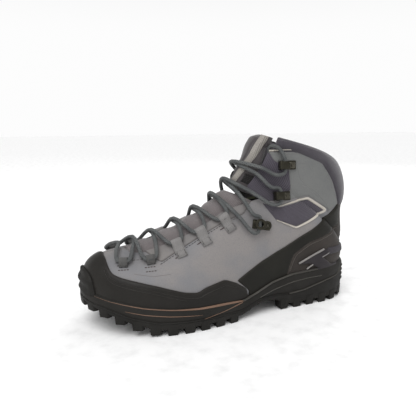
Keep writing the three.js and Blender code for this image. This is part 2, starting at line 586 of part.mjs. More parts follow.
// A path whose places are its own points, joined by straight steps.
class LacePath extends THREE.Curve {
  constructor(points) {
    super();
    this.points = points;
  }
  getPoint(t, target = new THREE.Vector3()) {
    const at = t * (this.points.length - 1);
    const k = Math.min(Math.floor(at), this.points.length - 2);
    return target.lerpVectors(this.points[k], this.points[k + 1], at - k);
  }
  getPointAt(t, target) {
    return this.getPoint(t, target);
  }
  getTangentAt(t, target = new THREE.Vector3()) {
    const step = 0.5 / (this.points.length - 1);
    return target.subVectors(this.getPoint(Math.min(t + step, 1)), this.getPoint(Math.max(t - step, 0)))
      .normalize();
  }
}
const laceTube = (radius) => manifold(new THREE.ExtrudeGeometry(
  new THREE.Shape(Array.from({ length: 8 }, (_, i) => new THREE.Vector2(
    radius * Math.cos((i * Math.PI) / 4), radius * Math.sin((i * Math.PI) / 4)))),
  { extrudePath: new LacePath(lacePoints), steps: lacePoints.length - 1, bevelEnabled: false }));
add("lace", laceTube(LACE_DIAMETER / 2), LACE, 0.9);

const TAB_REACH = 0.13; // in s, from the loop down to its bar tack
const TAB_HALF = 0.42; // in stations
const RIVET_SEAT = 9; // from the middle of a hook to its rivet
for (const [name, side] of SIDES) {
  for (const guide of GUIDES.slice(0, 5)) {
    const frame = frameAt(guide.u, side * guide.s);
    const ring = new THREE.Shape();
    ring.absarc(0, RING_LIFT, RING_HOLE + RING_WALL, 0, 2 * Math.PI);
    ring.holes.push(circle(0, RING_LIFT, RING_HOLE));
    const tab = patch(range(guide.u - TAB_HALF, guide.u + TAB_HALF, 2), () => side * guide.s * 0.97,
      () => side * (guide.s + TAB_REACH), GAP, GAP + WEBBING_THICKNESS, { columns: 3 });
    add(guide.name + "_" + name, profile(ring, frame, LOOP_WIDTH).add(tab).subtract(cached(GAP, 0)),
      WEBBING, 0.85);
  }
  const lock = GUIDES[5];
  const lockFrame = turnedFrame(lock.u, side * lock.s, lock.way);
  const eye = new THREE.Shape();
  eye.absarc(0, RING_LIFT, RING_HOLE + RING_WALL, 0, 2 * Math.PI);
  eye.holes.push(circle(0, RING_LIFT, RING_HOLE));
  const lockPlate = (from, to) => new THREE.Shape([[from, GAP], [to, GAP], [to, GAP + HOOK_METAL],
    [from, GAP + HOOK_METAL]].map(([x, y]) => new THREE.Vector2(x, y)));
  const plateHole = disc(lockFrame, RIVET_SEAT, -2, 4, RIVET_RADIUS + GAP);
  add("ankle_lock_" + name, profile(eye, lockFrame, HOOK_WIDTH).add(profile(lockPlate(-2, 13), lockFrame,
    HOOK_WIDTH)).subtract(plateHole).subtract(cached(GAP, 0)), METAL, 0.4, 0.8);
  const rivet = (frame, base) => disc(frame, RIVET_SEAT, base, base + HOOK_METAL + GAP + 0.3, RIVET_RADIUS)
    .add(disc(frame, RIVET_SEAT, base + HOOK_METAL + GAP, base + HOOK_METAL + GAP + 1.4, 3));
  add("ankle_lock_rivet_" + name, rivet(lockFrame, GAP), METAL, 0.3, 0.9);
  for (const guide of GUIDES.slice(6)) {
    const frame = turnedFrame(guide.u, side * guide.s, guide.way);
    const low = HOOK_BASE;
    const floor = low + HOOK_METAL;
    const roof = floor + HOOK_ROOM;
    const hook = new THREE.Shape([[-6, low], [13, low], [13, floor], [-6 + HOOK_METAL, floor],
      [-6 + HOOK_METAL, roof], [4.5, roof], [4.5, roof + HOOK_METAL], [-6, roof + HOOK_METAL]]
      .map(([x, y]) => new THREE.Vector2(x, y)));
    add(guide.name + "_" + name, profile(hook, frame, HOOK_WIDTH)
      .subtract(disc(frame, RIVET_SEAT, -2, 5, RIVET_RADIUS + GAP)), METAL, 0.4, 0.8);
    add(guide.name + "_rivet_" + name, rivet(frame, low), METAL, 0.3, 0.9);
  }
}

// Pull loop: a folded webbing that hangs from its seam at the back of the heel strap.
const PULL = { x: 150.4 * KX, z: 72 * KZ, drop: 8, reach: 2, width: 11 };
const pullCorners = [[0, 0], [PULL.reach, -0.6], [PULL.reach, -PULL.drop], [0, -PULL.drop]];
const pullShape = new THREE.Shape(pullCorners.map(([x, z]) => new THREE.Vector2(x, z)));
const pull = new THREE.ExtrudeGeometry(pullShape, { depth: PULL.width, bevelEnabled: false });
pull.rotateX(Math.PI / 2);
pull.translate(PULL.x, PULL.width / 2, PULL.z);
add("heel_pull_loop", manifold(pull), DARK, 0.85);

export default boot;
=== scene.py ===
"""Looks of a left hiking boot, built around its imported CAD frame.

The boot stands in the CAD frame: metres, +Z up, toe to -X, heel to +X, lateral side to -Y. Sizes
below are millimetres unless a name says otherwise, and MM turns them into metres. The upper is drawn
on the boot's form, the same family of curves that the CAD part uses: u counts its stations from toe
to collar, s runs from -1 (lateral feather line) over 0 (top line) to 1 (medial feather line), and
height is the distance out from the form.
"""

import sys
import logging
import math
from dataclasses import dataclass, field
from enum import Enum
from typing import Callable, Sequence

import bmesh
import bpy
import numpy as np
from mathutils import Matrix, Vector
from mathutils.bvhtree import BVHTree


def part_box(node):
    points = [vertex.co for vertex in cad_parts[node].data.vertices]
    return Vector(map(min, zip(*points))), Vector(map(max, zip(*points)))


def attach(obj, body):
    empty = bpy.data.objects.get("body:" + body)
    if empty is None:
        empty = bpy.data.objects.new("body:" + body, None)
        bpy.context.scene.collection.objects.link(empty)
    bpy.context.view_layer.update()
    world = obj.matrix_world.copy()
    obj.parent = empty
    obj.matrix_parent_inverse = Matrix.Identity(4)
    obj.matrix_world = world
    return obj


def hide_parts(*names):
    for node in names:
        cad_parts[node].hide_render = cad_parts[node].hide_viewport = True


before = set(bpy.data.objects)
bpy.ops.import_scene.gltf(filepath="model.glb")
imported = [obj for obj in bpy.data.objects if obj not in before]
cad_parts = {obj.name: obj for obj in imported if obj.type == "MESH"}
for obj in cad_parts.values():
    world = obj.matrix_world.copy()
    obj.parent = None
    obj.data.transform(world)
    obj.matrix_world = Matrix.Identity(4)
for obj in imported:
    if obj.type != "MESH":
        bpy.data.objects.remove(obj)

LOG = logging.getLogger("boot")
MM = 0.001
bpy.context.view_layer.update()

Colour = tuple[float, float, float]
Point = tuple[float, float]
Curve = Callable[[np.ndarray], np.ndarray]


class Side(Enum):
    """The two sides of the boot, and the sign of Y on each."""

    LATERAL = -1
    MEDIAL = 1

    @property
    def label(self) -> str:
        """The side's name in the names of pieces."""
        return self.name.lower()


class Weave(Enum):
    """The surface textures that a finish can have."""

    GRAIN = "grain"
    PLAIN = "plain"
    KNIT = "knit"
    BRAID = "braid"
    METAL = "metal"


# ---------------------------------------------------------------- the form


def smoothstep(low: float, high: float, value: np.ndarray) -> np.ndarray:
    """A smooth rise from 0 at low to 1 at high.

    Args:
        low: where the rise starts.
        high: where it ends.
        value: the places to read it at.

    Returns:
        The height of the rise at each place.
    """
    t = np.clip((value - low) / (high - low), 0.0, 1.0)
    return t * t * (3 - 2 * t)


def through(rows: np.ndarray, t: np.ndarray) -> np.ndarray:
    """A smooth curve through rows of numbers.

    Args:
        rows: one row per station.
        t: the stations to read, whole numbers falling on rows.

    Returns:
        One row of numbers for each t.
    """
    last = len(rows) - 1
    k = np.clip(np.floor(t).astype(int), 0, last - 1)
    f = (t - k)[:, None]

    def at(index: np.ndarray) -> np.ndarray:
        """The rows at an index held inside the table."""
        return rows[np.clip(index, 0, last)]

    out = (at(k + 1) - at(k - 1)) / np.where(k == 0, 1, 2)[:, None]
    into = (at(k + 2) - at(k)) / np.where(k == last - 1, 1, 2)[:, None]
    h = f * f * (3 - 2 * f)
    return at(k) * (1 - h) + at(k + 1) * h + out * (f**3 - 2 * f * f + f) + into * (f**3 - f * f)


def along(table: Sequence[Point], x: np.ndarray) -> np.ndarray:
    """Heights read along a table of [x, z] points joined by straight lines."""
    xs, zs = zip(*table)
    return np.interp(x, xs, zs)


@dataclass(frozen=True)
class SoleLine:
    """The outline of the sole in plan, from the toe along each side to the back of the heel."""

    lateral: tuple[Point, ...] = (
        (-150, 8), (-147.5, -6), (-139, -22), (-122, -37), (-100, -48), (-75, -54.5), (-50, -56),
        (-20, -53), (15, -46), (50, -41), (85, -40), (115, -38), (137, -28), (147, -14), (150, 0),
    )
    medial: tuple[Point, ...] = (
        (-150, 8), (-148, 20), (-140, 34), (-125, 46), (-105, 53), (-82, 56), (-58, 54), (-25, 46),
        (12, 37), (48, 33), (85, 35), (115, 36), (137, 28), (147, 14), (150, 0),
    )

    def side(self, t: np.ndarray, side: int, inset: np.ndarray) -> np.ndarray:
        """Points of one side's outline.

        Args:
            t: stations from 0 at the toe to 14 at the back of the heel.
            side: -1 for lateral, 1 for medial.
            inset: how far each point lies inside the outline.

        Returns:
            One row of x and y for each t.
        """
        rows = np.array(self.lateral if side < 0 else self.medial, float)
        last = len(rows) - 1
        point = through(rows, t)
        way = through(rows, np.minimum(t + 0.01, last)) - through(rows, np.maximum(t - 0.01, 0))
        way /= np.linalg.norm(way, axis=1)[:, None]
        way[t <= 0] = (0, side)
        way[t >= last] = (0, -side)
        return point + side * np.stack([way[:, 1], -way[:, 0]], 1) * np.reshape(inset, (-1, 1))

    def stations(self, count: int, side: int) -> np.ndarray:
        """Stations of one side that stand at even distances along the outline."""
        t = np.linspace(0, len(self.lateral) - 1, 400)
        p = self.side(t, side, np.zeros(1))
        run = np.concatenate([[0], np.cumsum(np.linalg.norm(np.diff(p, axis=0), axis=1))])
        return np.interp(np.linspace(0, run[-1], count), run, t)

    def ring(self, count: int, inset: Curve | float, height: Curve) -> np.ndarray:
        """A closed ring round the sole.

        Args:
            count: points on each side.
            inset: distance inside the outline, a number or a curve over x.
            height: z over x.

        Returns:
            Points in order, lateral from toe to heel and medial back to the toe.
        """
        halves = []
        for side in (-1, 1):
            t = self.stations(count, side)
            x = self.side(t, side, np.zeros(1))[:, 0]
            gap = inset(x) if callable(inset) else np.full(len(x), float(inset))
            p = self.side(t, side, gap)
            halves.append(np.column_stack([p, height(x)]))
        return np.vstack([halves[0], halves[1][::-1][1:-1]])


SOLE = SoleLine()


@dataclass(frozen=True)
class Form:
    """The form of the upper: a smooth closed family of curves over the stations of the boot."""

    # x and z of the top line, the crown's handle, its turn in degrees and dip, and the wall's handle
    stations: tuple[tuple, ...] = (
        (-114, 74, 24, 0, -0.15, (-2, 0, 22)), (-113, 74, 24, 22, -0.15, (-2, -1, 22)),
        (-110, 75, 24, 42, -0.15, (-1, -2, 22)), (-104, 76, 25, 58, -0.15, (0, -3, 24)),
        (-94, 78, 26, 70, -0.15, (0, -3, 27)), (-80, 82, 27, 78, -0.15, (0, -3, 30)),
        (-64, 88.5, 28, 83, -0.15, (0, -3, 34)), (-44, 98, 29, 87, -0.15, (0, -3, 40)),
        (-26, 108.5, 30, 90, -0.12, (0, -3, 48)), (-11, 119, 32, 90, -0.08, (0, -4, 54)),
        (-1, 128.5, 34, 90, -0.05, (0, -5, 58)), (6, 137, 36, 90, 0, (2, -12, 51)),
        (10, 143.5, 38, 90, 0, (4, -22, 46)), (13, 149, 40, 90, 0, (4, -33, 45)),
        (16, 154, 42, 90, 0, (2, -42, 44)), (20, 161, 44, 90, 0, (0, -46, 20)),
        (26, 169, 45, 90, 0, (0, -46, 4)), (33, 179, 45, 90, 0, (-4, -46, 12)),
        (41, 190, 44, 90, -0.2, (-20, -43, 28)),
    )
    back_seam: tuple[tuple, ...] = ((149, 0, 62), (147, 0, 92), (149.5, 0, 120), (146, 0, 144))
    feather: tuple[Point, ...] = (
        (-150, 42), (-130, 35), (-100, 29), (-60, 24), (-20, 22), (5, 21), (20, 25), (40, 32),
        (66, 36.5), (100, 38), (150, 42),
    )
    top_line_y: tuple[Point, ...] = ((-112, 8), (-60, 5), (0, 1), (30, 0))
    margin: float = 5.0

    @property
    def last(self) -> int:
        """The number of the last station, at the collar's rim."""
        return len(self.stations) - 1

    @property
    def heel(self) -> int:
        """The station whose curve ends at the back of the heel."""
        return len(SOLE.lateral) - 1

    def net(self, side: int) -> np.ndarray:
        """The four handles of each station's curve on one side, twelve numbers in a row."""
        rows = []
        for i, (x, z, crown, fan, dip, wall) in enumerate(self.stations):
            turn = math.radians(fan)
            y = float(along(self.top_line_y, np.array(x, float)))
            if i <= self.heel:
                px, py = SOLE.side(np.array([float(i)]), side, np.array([self.margin]))[0]
                end = (px, py, float(along(self.feather, np.array(px))))
            else:
                end = self.back_seam[i - self.heel - 1]
            rows.append((
                x, y, z,
                x - math.cos(turn) * crown, y + side * math.sin(turn) * crown, z + dip * crown,
                end[0] + wall[0], end[1] - side * wall[1], end[2] + wall[2], *end,
            ))
        return np.array(rows, float)

    def raw(self, u: np.ndarray, s: np.ndarray) -> np.ndarray:
        """Points of the form in millimetres, with the crease along its top line."""
        w = np.clip(np.abs(s), 0, 1)[:, None]
        bezier = ((1 - w) ** 3, 3 * w * (1 - w) ** 2, 3 * w * w * (1 - w), w**3)
        out = np.zeros((len(u), 3))
        for side, mask in ((-1, s < 0), (1, s >= 0)):
            if not mask.any():
                continue
            row = through(NETS[side], u[mask])
            row[:, 10] = np.where(u[mask] >= self.heel, 0, row[:, 10])
            out[mask] = sum(b[mask] * row[:, 3 * k:3 * k + 3] for k, b in enumerate(bezier))
        return out

    def surface(self, u: np.ndarray, s: np.ndarray) -> np.ndarray:
        """Points of the form in millimetres, its top line rounded over."""
        u = np.clip(u, 0, self.last)
        spread = 0.06 * (1 - smoothstep(0.05, 0.32, np.abs(s))) * smoothstep(0.6, 2.6, u)
        taps = ((-2, 1), (-1, 2), (0, 3), (1, 2), (2, 1))
        return sum(weight * self.raw(u, s + k * spread) for k, weight in taps) / 9.0

    def normal(self, u: np.ndarray, s: np.ndarray) -> np.ndarray:
        """Unit directions out of the form."""
        u = np.clip(u, 0.05, self.last)
        s = np.clip(s, -0.995, 0.995)
        step = 0.02
        du = self.surface(np.minimum(u + step, self.last), s) - self.surface(u - step, s)
        ds = self.surface(u, s + step / 2) - self.surface(u, s - step / 2)
        n = np.cross(du, ds)
        return n / np.maximum(np.linalg.norm(n, axis=1), 1e-9)[:, None]

    def place(self, u: np.ndarray, s: np.ndarray, height: np.ndarray | float) -> np.ndarray:
        """Points at a height over the form.

        Args:
            u: stations.
            s: places across the stations.
            height: distance out from the form in millimetres.

        Returns:
            Points in millimetres.
        """
        rise = np.reshape(np.broadcast_to(height, u.shape), (-1, 1))
        return self.surface(u, s) + self.normal(u, s) * rise

    def spot(self, u: float, s: float, height: float) -> np.ndarray:
        """One point at a height over the form, in millimetres."""
        return self.place(np.array([u], float), np.array([s], float), height)[0]

    def reach(self, s: float) -> tuple[np.ndarray, np.ndarray]:
        """Distances along the form from the toe, at one s: the stations and the run to each."""
        u = np.linspace(0, self.last, 500)
        p = self.surface(u, np.full(len(u), s))
        run = np.concatenate([[0], np.cumsum(np.linalg.norm(np.diff(p, axis=0), axis=1))])
        return u, run


FORM = Form()
NETS = {side: FORM.net(side) for side in (-1, 1)}
RUN_U, RUN_LENGTH = FORM.reach(0.45)


@dataclass(frozen=True)
class Place:
    """A place on the form with its own frame, in millimetres."""

    point: np.ndarray
    up: np.ndarray
    down: np.ndarray
    out: np.ndarray

    @staticmethod
    def on_form(u: float, s: float, way: Point | None = None) -> "Place":
        """The frame of a place on the form.

        Args:
            u: its station.
            s: its place across the station.
            way: the x and z that its up direction follows; along the stations where it is None.

        Returns:
            The place with up along the form, down away from the top line, and out.
        """
        side = -1 if s < 0 else 1
        uu, ss = np.array([u, u]), np.array([s, s])
        point = FORM.surface(uu, ss)[0]
        out = FORM.normal(uu, ss)[0]
        if way is None:
            step = np.array([-0.02, 0.02])
            ends = FORM.surface(uu + step, ss)
            up = ends[1] - ends[0]
        else:
            up = np.array([way[0], 0.0, way[1]])
        up = up - out * np.dot(up, out)
        up /= np.linalg.norm(up)
        down = -side * np.cross(up, out)
        return Place(point, up, down, out)

    def at(self, up: float, down: float, out: float) -> np.ndarray:
        """A point given in the place's own directions."""
        return self.point + self.up * up + self.down * down + self.out * out

    def matrix(self) -> Matrix:
        """The turn and move, in metres, from own coordinates (down, up, out) to the boot's."""
        columns = [*(self.down, self.up, self.out), self.point * MM]
        rows = [[float(c[i]) for c in columns] for i in range(3)]
        return Matrix((*rows, [0, 0, 0, 1]))


# ---------------------------------------------------------------- finishes


@dataclass(frozen=True)
class Finish:
    """A finish: its colours, its gloss and the texture of its surface."""

    name: str
    slot: str
    colour: Colour
    shade: Colour
    roughness: float = 0.6
    weave: Weave = Weave.GRAIN
    pitch: float = 1.2  # millimetres between threads, or the size of the grain
    relief: float = 0.3
    sheen: float = 0.0
    specular: float = 0.25
    metallic: float = 0.0
    mottle: float = 18.0  # millimetres across a patch of the tone's variation
    edge: Colour | None = None  # the tone along a piece's edges

    def make(self) -> bpy.types.Material:
        """The finish as a material, made once."""
        made = bpy.data.materials.get("look_" + self.name)
        return made or Shader(self).material


class Shader:
    """Builds the nodes of a finish."""

    def __init__(self, finish: Finish) -> None:
        """Makes the material of a finish."""
        self.finish = finish
        self.material = bpy.data.materials.new("look_" + finish.name)
        self.material.use_nodes = True
        self.tree = self.material.node_tree
        self.surface = self.tree.nodes["Principled BSDF"]
        self.surface.inputs["Metallic"].default_value = finish.metallic
        self.surface.inputs["Sheen Weight"].default_value = finish.sheen
        self.surface.inputs["Specular IOR Level"].default_value = finish.specular
        self.coordinates = self.node("ShaderNodeTexCoord")
        self.dress()

    def node(self, kind: str, **settings: object) -> bpy.types.Node:
        """A node with its settings: an attribute by name, or an input by its label."""
        made = self.tree.nodes.new(kind)
        for key, value in settings.items():
            if hasattr(made, key):
                setattr(made, key, value)
            else:
                made.inputs[key.replace("_", " ")].default_value = value
        return made

    def link(self, source: bpy.types.NodeSocket, target: bpy.types.NodeSocket) -> None:
        """Joins two sockets."""
        self.tree.links.new(source, target)

    def noise(self, size: float, detail: float = 3.0, output: str = "Object") -> bpy.types.NodeSocket:
        """A noise whose patches are about size millimetres across."""
        made = self.node("ShaderNodeTexNoise", Scale=1 / (size * MM), Detail=detail, Roughness=0.6)
        self.link(self.coordinates.outputs[output], made.inputs["Vector"])
        return made.outputs["Fac"]

    def bands(self, pitch: float, direction: str, turn: float = 0.0) -> bpy.types.NodeSocket:
        """Even waves over the piece's own map, pitch millimetres apart."""
        mapping = self.node("ShaderNodeMapping")
        mapping.inputs["Rotation"].default_value = (0, 0, turn)
        self.link(self.coordinates.outputs["UV"], mapping.inputs["Vector"])
        wave = self.node("ShaderNodeTexWave", bands_direction=direction, Scale=math.pi / 10 / (pitch * MM))
        self.link(mapping.outputs["Vector"], wave.inputs["Vector"])
        return wave.outputs["Fac"]

    def combine(self, operation: str, a: object, b: object) -> bpy.types.NodeSocket:
        """A sum, product or other mix of two numbers, each a socket or a value."""
        made = self.node("ShaderNodeMath", operation=operation)
        for index, value in enumerate((a, b)):
            if isinstance(value, bpy.types.NodeSocket):
                self.link(value, made.inputs[index])
            else:
                made.inputs[index].default_value = value
        return made.outputs[0]

    def mixed(self, factor: bpy.types.NodeSocket, a: object, b: object) -> bpy.types.NodeSocket:
        """A mix of two colours, each a socket or a colour."""
        made = self.node("ShaderNodeMix", data_type="RGBA")
        self.link(factor, made.inputs["Factor"])
        for label, value in (("A", a), ("B", b)):
            socket = next(i for i in made.inputs if i.name == label and i.type == "RGBA")
            if isinstance(value, bpy.types.NodeSocket):
                self.link(value, socket)
            else:
                socket.default_value = (*value, 1)
        return next(o for o in made.outputs if o.type == "RGBA")

    def ranged(self, value: bpy.types.NodeSocket, low: float, high: float,
               to_low: float = 0.0, to_high: float = 1.0) -> bpy.types.NodeSocket:
        """A number moved smoothly from one range to another."""
        made = self.node("ShaderNodeMapRange", interpolation_type="SMOOTHSTEP")
        self.link(value, made.inputs["Value"])
        for label, number in (("From Min", low), ("From Max", high), ("To Min", to_low), ("To Max", to_high)):
            made.inputs[label].default_value = number
        return made.outputs["Result"]

    def pattern(self) -> bpy.types.NodeSocket:
        """The height of the finish's weave or grain, from 0 to 1."""
        finish = self.finish
        if finish.weave is Weave.PLAIN:
            return self.combine("MULTIPLY", self.bands(finish.pitch, "X"), self.bands(finish.pitch, "Y"))
        if finish.weave is Weave.KNIT:
            rows = self.bands(finish.pitch, "Y")
            return self.combine("MULTIPLY", rows, self.bands(finish.pitch * 0.7, "X", 0.5))
        if finish.weave is Weave.BRAID:
            one = self.bands(finish.pitch, "X", 0.7)
            return self.combine("MAXIMUM", one, self.bands(finish.pitch, "X", -0.7))
        return self.noise(finish.pitch, 5.0)

    def dress(self) -> None:
        """Joins colour, with painted shade in the hollows of its weave or grain, roughness and relief to the
        surface.
        """
        finish = self.finish
        pattern = self.pattern()
        patches = self.ranged(self.noise(finish.mottle), 0.35, 0.65)
        colour = self.mixed(patches, finish.colour, finish.shade)
        # painted shade: where the weave or grain is low, in its hollows, the colour turns darker, deeper for
        # woven cloth
        depth = 0.45 if finish.weave in (Weave.PLAIN, Weave.KNIT, Weave.BRAID) else 0.16
        hollow_shade = tuple(c * (1 - depth) for c in finish.shade)
        colour = self.mixed(self.ranged(pattern, 0.15, 0.6), self.mixed(patches, hollow_shade, hollow_shade), colour)
        if finish.edge:
            edge = self.node("ShaderNodeAttribute", attribute_name="edge")
            colour = self.mixed(edge.outputs["Fac"], finish.edge, colour)
        self.link(colour, self.surface.inputs["Base Color"])
        rough = self.ranged(self.noise(finish.mottle * 0.4), 0.2, 0.8, finish.roughness - 0.06,
                            min(finish.roughness + 0.07, 1.0))
        self.link(rough, self.surface.inputs["Roughness"])
        bump = self.node("ShaderNodeBump", Strength=finish.relief, Distance=finish.pitch * MM * 0.5)
        self.link(pattern, bump.inputs["Height"])
        self.link(bump.outputs["Normal"], self.surface.inputs["Normal"])


VAMP = Finish("vamp_film", "upper_textile", (0.216, 0.2009, 0.1944), (0.1728, 0.1728, 0.1814), 0.52,
              Weave.GRAIN, 0.9, 0.12, 0.05, mottle=60, edge=(0.16, 0.15, 0.148))
EYESTAY = Finish("eyestay_film", "upper_textile", (0.205, 0.190, 0.182), (0.175, 0.166, 0.164), 0.6,
                 Weave.GRAIN, 0.8, 0.16, mottle=30, edge=(0.075, 0.069, 0.066))
RAND = Finish("rand_rubber", "rand_rubber", (0.0185, 0.0170, 0.0150), (0.0145, 0.0133, 0.0118), 0.42,
              Weave.GRAIN, 0.7, 0.18, mottle=40, edge=(0.024, 0.0215, 0.019), specular=0.14)
BAND = Finish("band_rubber", "rand_rubber", (0.014, 0.0132, 0.0104), (0.0108, 0.01024, 0.00832), 0.46,
              Weave.GRAIN, 0.8, 0.2, mottle=40, edge=(0.022, 0.0205, 0.017), specular=0.14)
HEEL_CLOTH = Finish("heel_cloth", "heel_textile", (0.0396, 0.033, 0.02915), (0.0286, 0.0242, 0.02145), 0.75,
                    Weave.GRAIN, 0.9, 0.35, 0.1, mottle=25, edge=(0.060, 0.052, 0.046), specular=0.14)
COLLAR = Finish("collar_cloth", "collar_textile", (0.08625, 0.0759, 0.09315), (0.0644, 0.0575, 0.07015), 0.85,
                Weave.PLAIN, 1.1, 0.35, 0.35, mottle=22)
INSERT = Finish("insert_cloth", "collar_textile", (0.108, 0.096, 0.12), (0.0825, 0.0735, 0.0915), 0.8,
                Weave.PLAIN, 1.0, 0.35, 0.2, mottle=22)
FILM = Finish("shaft_film", "panel_film", (0.1462, 0.1486, 0.1451), (0.1228, 0.1264, 0.1264), 0.55,
              Weave.GRAIN, 0.9, 0.12, mottle=45, edge=(0.13, 0.13, 0.128))
FILM_LINE = Finish("film_line", "panel_film", (0.165, 0.166, 0.162), (0.14, 0.141, 0.14), 0.5,
                   Weave.GRAIN, 0.8, 0.12, mottle=20)
RAND_LINE = Finish("rand_line", "rand_rubber", (0.030, 0.028, 0.025), (0.024, 0.022, 0.020), 0.4,
                   Weave.GRAIN, 0.7, 0.12, mottle=20, specular=0.2)
TRIM = Finish("trim_film", "trim_film", (0.50, 0.465, 0.41), (0.43, 0.40, 0.355), 0.5,
              Weave.GRAIN, 0.8, 0.12, mottle=15)
TONGUE_CLOTH = Finish("tongue_cloth", "upper_textile", (0.273, 0.2431, 0.2405), (0.2145, 0.1898, 0.1911),
                      0.85, Weave.PLAIN, 1.3, 0.4, 0.3, mottle=14)
TONGUE_PAD = Finish("tongue_pad_cloth", "tongue_textile", (0.1092, 0.0966, 0.0989), (0.0782, 0.069, 0.0713),
                    0.88, Weave.KNIT, 1.1, 0.4, 0.35, mottle=16)
TONGUE_DARK = Finish("tongue_window_mesh", "tongue_textile", (0.026, 0.023, 0.023), (0.017, 0.015, 0.015),
                     0.85, Weave.KNIT, 1.8, 0.8, 0.1, mottle=12)
STRIP = Finish("strip_tape", "strip_film", (0.43, 0.405, 0.37), (0.36, 0.335, 0.305), 0.7,
               Weave.PLAIN, 0.9, 0.25, mottle=12)
LINING = Finish("lining_mesh", "lining_textile", (0.035, 0.035, 0.038), (0.025, 0.025, 0.028), 0.9,
                Weave.KNIT, 1.6, 0.5, 0.2)
FOOTBED = Finish("footbed_cloth", "footbed_foam", (0.055, 0.06, 0.07), (0.045, 0.05, 0.058), 0.9,
                 Weave.PLAIN, 1.2, 0.4, 0.2)
SOLE_RUBBER = Finish("sole_rubber", "sole_rubber", (0.0190, 0.0180, 0.0163), (0.0140, 0.0132, 0.0120), 0.62,
                     Weave.GRAIN, 0.8, 0.3, mottle=30, specular=0.14)
MIDSOLE = Finish("midsole_foam", "midsole_foam", (0.0200, 0.0186, 0.0165), (0.0150, 0.0140, 0.0125), 0.58,
                 Weave.GRAIN, 0.7, 0.25, mottle=35, specular=0.14)
PINSTRIPE = Finish("pinstripe", "midsole_foam", (0.190, 0.115, 0.080), (0.155, 0.095, 0.066), 0.5,
                   Weave.GRAIN, 0.6, 0.15, mottle=20)
RIDGE = Finish("ridge_rubber", "midsole_foam", (0.065, 0.061, 0.054), (0.050, 0.047, 0.042), 0.42,
               Weave.GRAIN, 0.6, 0.15, mottle=20)
CAGE = Finish("cage_plastic", "cage_plastic", (0.030, 0.026, 0.029), (0.022, 0.019, 0.021), 0.45,
              Weave.GRAIN, 0.6, 0.15, mottle=20, edge=(0.040, 0.036, 0.038), specular=0.14)
BEVEL = Finish("cage_bevel", "cage_plastic", (0.25, 0.235, 0.225), (0.18, 0.17, 0.165), 0.4,
               Weave.GRAIN, 0.6, 0.1, mottle=14)
STRAP = Finish("strap_webbing", "strap_webbing", (0.060, 0.052, 0.063), (0.045, 0.039, 0.048), 0.7,
               Weave.PLAIN, 1.0, 0.4, 0.1)
WEBBING = Finish("loop_webbing", "loop_webbing", (0.33, 0.318, 0.312), (0.275, 0.265, 0.26), 0.75,
                 Weave.PLAIN, 0.9, 0.4, 0.15, mottle=8)
DARK_WEBBING = Finish("toe_loop_webbing", "loop_webbing", (0.145, 0.143, 0.138), (0.115, 0.113, 0.110), 0.75,
                      Weave.PLAIN, 0.8, 0.4, 0.1, mottle=8)
PULL = Finish("pull_webbing", "pull_webbing", (0.022, 0.022, 0.022), (0.016, 0.016, 0.016), 0.7,
              Weave.PLAIN, 0.9, 0.4, specular=0.14)
LACE = Finish("lace_cord", "lace_cord", (0.115, 0.120, 0.119), (0.080, 0.084, 0.085), 0.72,
              Weave.BRAID, 1.6, 0.55, 0.02, mottle=9)
HOOK = Finish("hook_lacquer", "hook_metal", (0.040, 0.037, 0.027), (0.028, 0.026, 0.019), 0.34,
              Weave.METAL, 0.7, 0.1, metallic=0.75, mottle=6)
RIVET = Finish("rivet_lacquer", "rivet_metal", (0.085, 0.079, 0.062), (0.060, 0.056, 0.044), 0.28,
               Weave.METAL, 0.7, 0.1, metallic=0.85, mottle=5)
THREAD = Finish("dark_thread", "loop_webbing", (0.075, 0.045, 0.040), (0.055, 0.035, 0.032), 0.7,
                Weave.PLAIN, 0.5, 0.3)
GREY_THREAD = Finish("grey_thread", "upper_textile", (0.055, 0.051, 0.049), (0.042, 0.039, 0.038), 0.7,
                     Weave.PLAIN, 0.5, 0.3)
BOARD = Finish("lasting_board_fibre", "board_fibre", (0.36, 0.29, 0.20), (0.29, 0.23, 0.16), 0.85,
               Weave.GRAIN, 0.9, 0.35, mottle=12)
RESIN = Finish("stiffener_sheet", "stiffener_resin", (0.44, 0.41, 0.35), (0.38, 0.35, 0.30), 0.6,
               Weave.GRAIN, 1.0, 0.2, mottle=20)
FOAM = Finish("shaft_foam", "ankle_foam", (0.30, 0.30, 0.20), (0.25, 0.25, 0.165), 0.9,
              Weave.GRAIN, 1.2, 0.5, mottle=12)
NYLON = Finish("shank_sheet", "shank_nylon", (0.045, 0.045, 0.048), (0.035, 0.035, 0.038), 0.45,
               Weave.GRAIN, 0.8, 0.2, mottle=20)
FLOOR = Finish("studio_floor", "", (0.95, 0.95, 0.95), (0.945, 0.945, 0.945), 0.9,
               Weave.GRAIN, 20.0, 0.01, mottle=400)


# ---------------------------------------------------------------- making pieces


def linked(name: str, bm: bmesh.types.BMesh, finish: Finish, body: str,
           nodes: Sequence[str] = (), sharp: float = 38.0, bevel: float = 0.0) -> bpy.types.Object:
    """Turns a bmesh into a finished piece that rides on a body.

    Args:
        name: the piece's name.
        bm: its mesh in metres, which is freed.
        finish: its finish.
        body: the CAD body it rides on.
        nodes: the CAD nodes that it stands for.
        sharp: degrees over which an edge stays sharp.
        bevel: width in millimetres of a live bevel, or 0.

    Returns:
        The piece.
    """
    mesh = bpy.data.meshes.new(name)
    bm.to_mesh(mesh)
    bm.free()
    mesh.shade_smooth()
    mesh.set_sharp_from_angle(angle=math.radians(sharp))
    mesh.materials.append(finish.make())
    piece = bpy.data.objects.new(name, mesh)
    bpy.context.scene.collection.objects.link(piece)
    if bevel:
        rounding = piece.modifiers.new("rounding", "BEVEL")
        rounding.width = bevel * MM
        rounding.segments = 2
        rounding.limit_method = "ANGLE"
        rounding.angle_limit = math.radians(sharp)
    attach(piece, body)
    if nodes:
        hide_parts(*nodes)
    LOG.info("%s: %d faces on %s", name, len(mesh.polygons), body)
    return piece


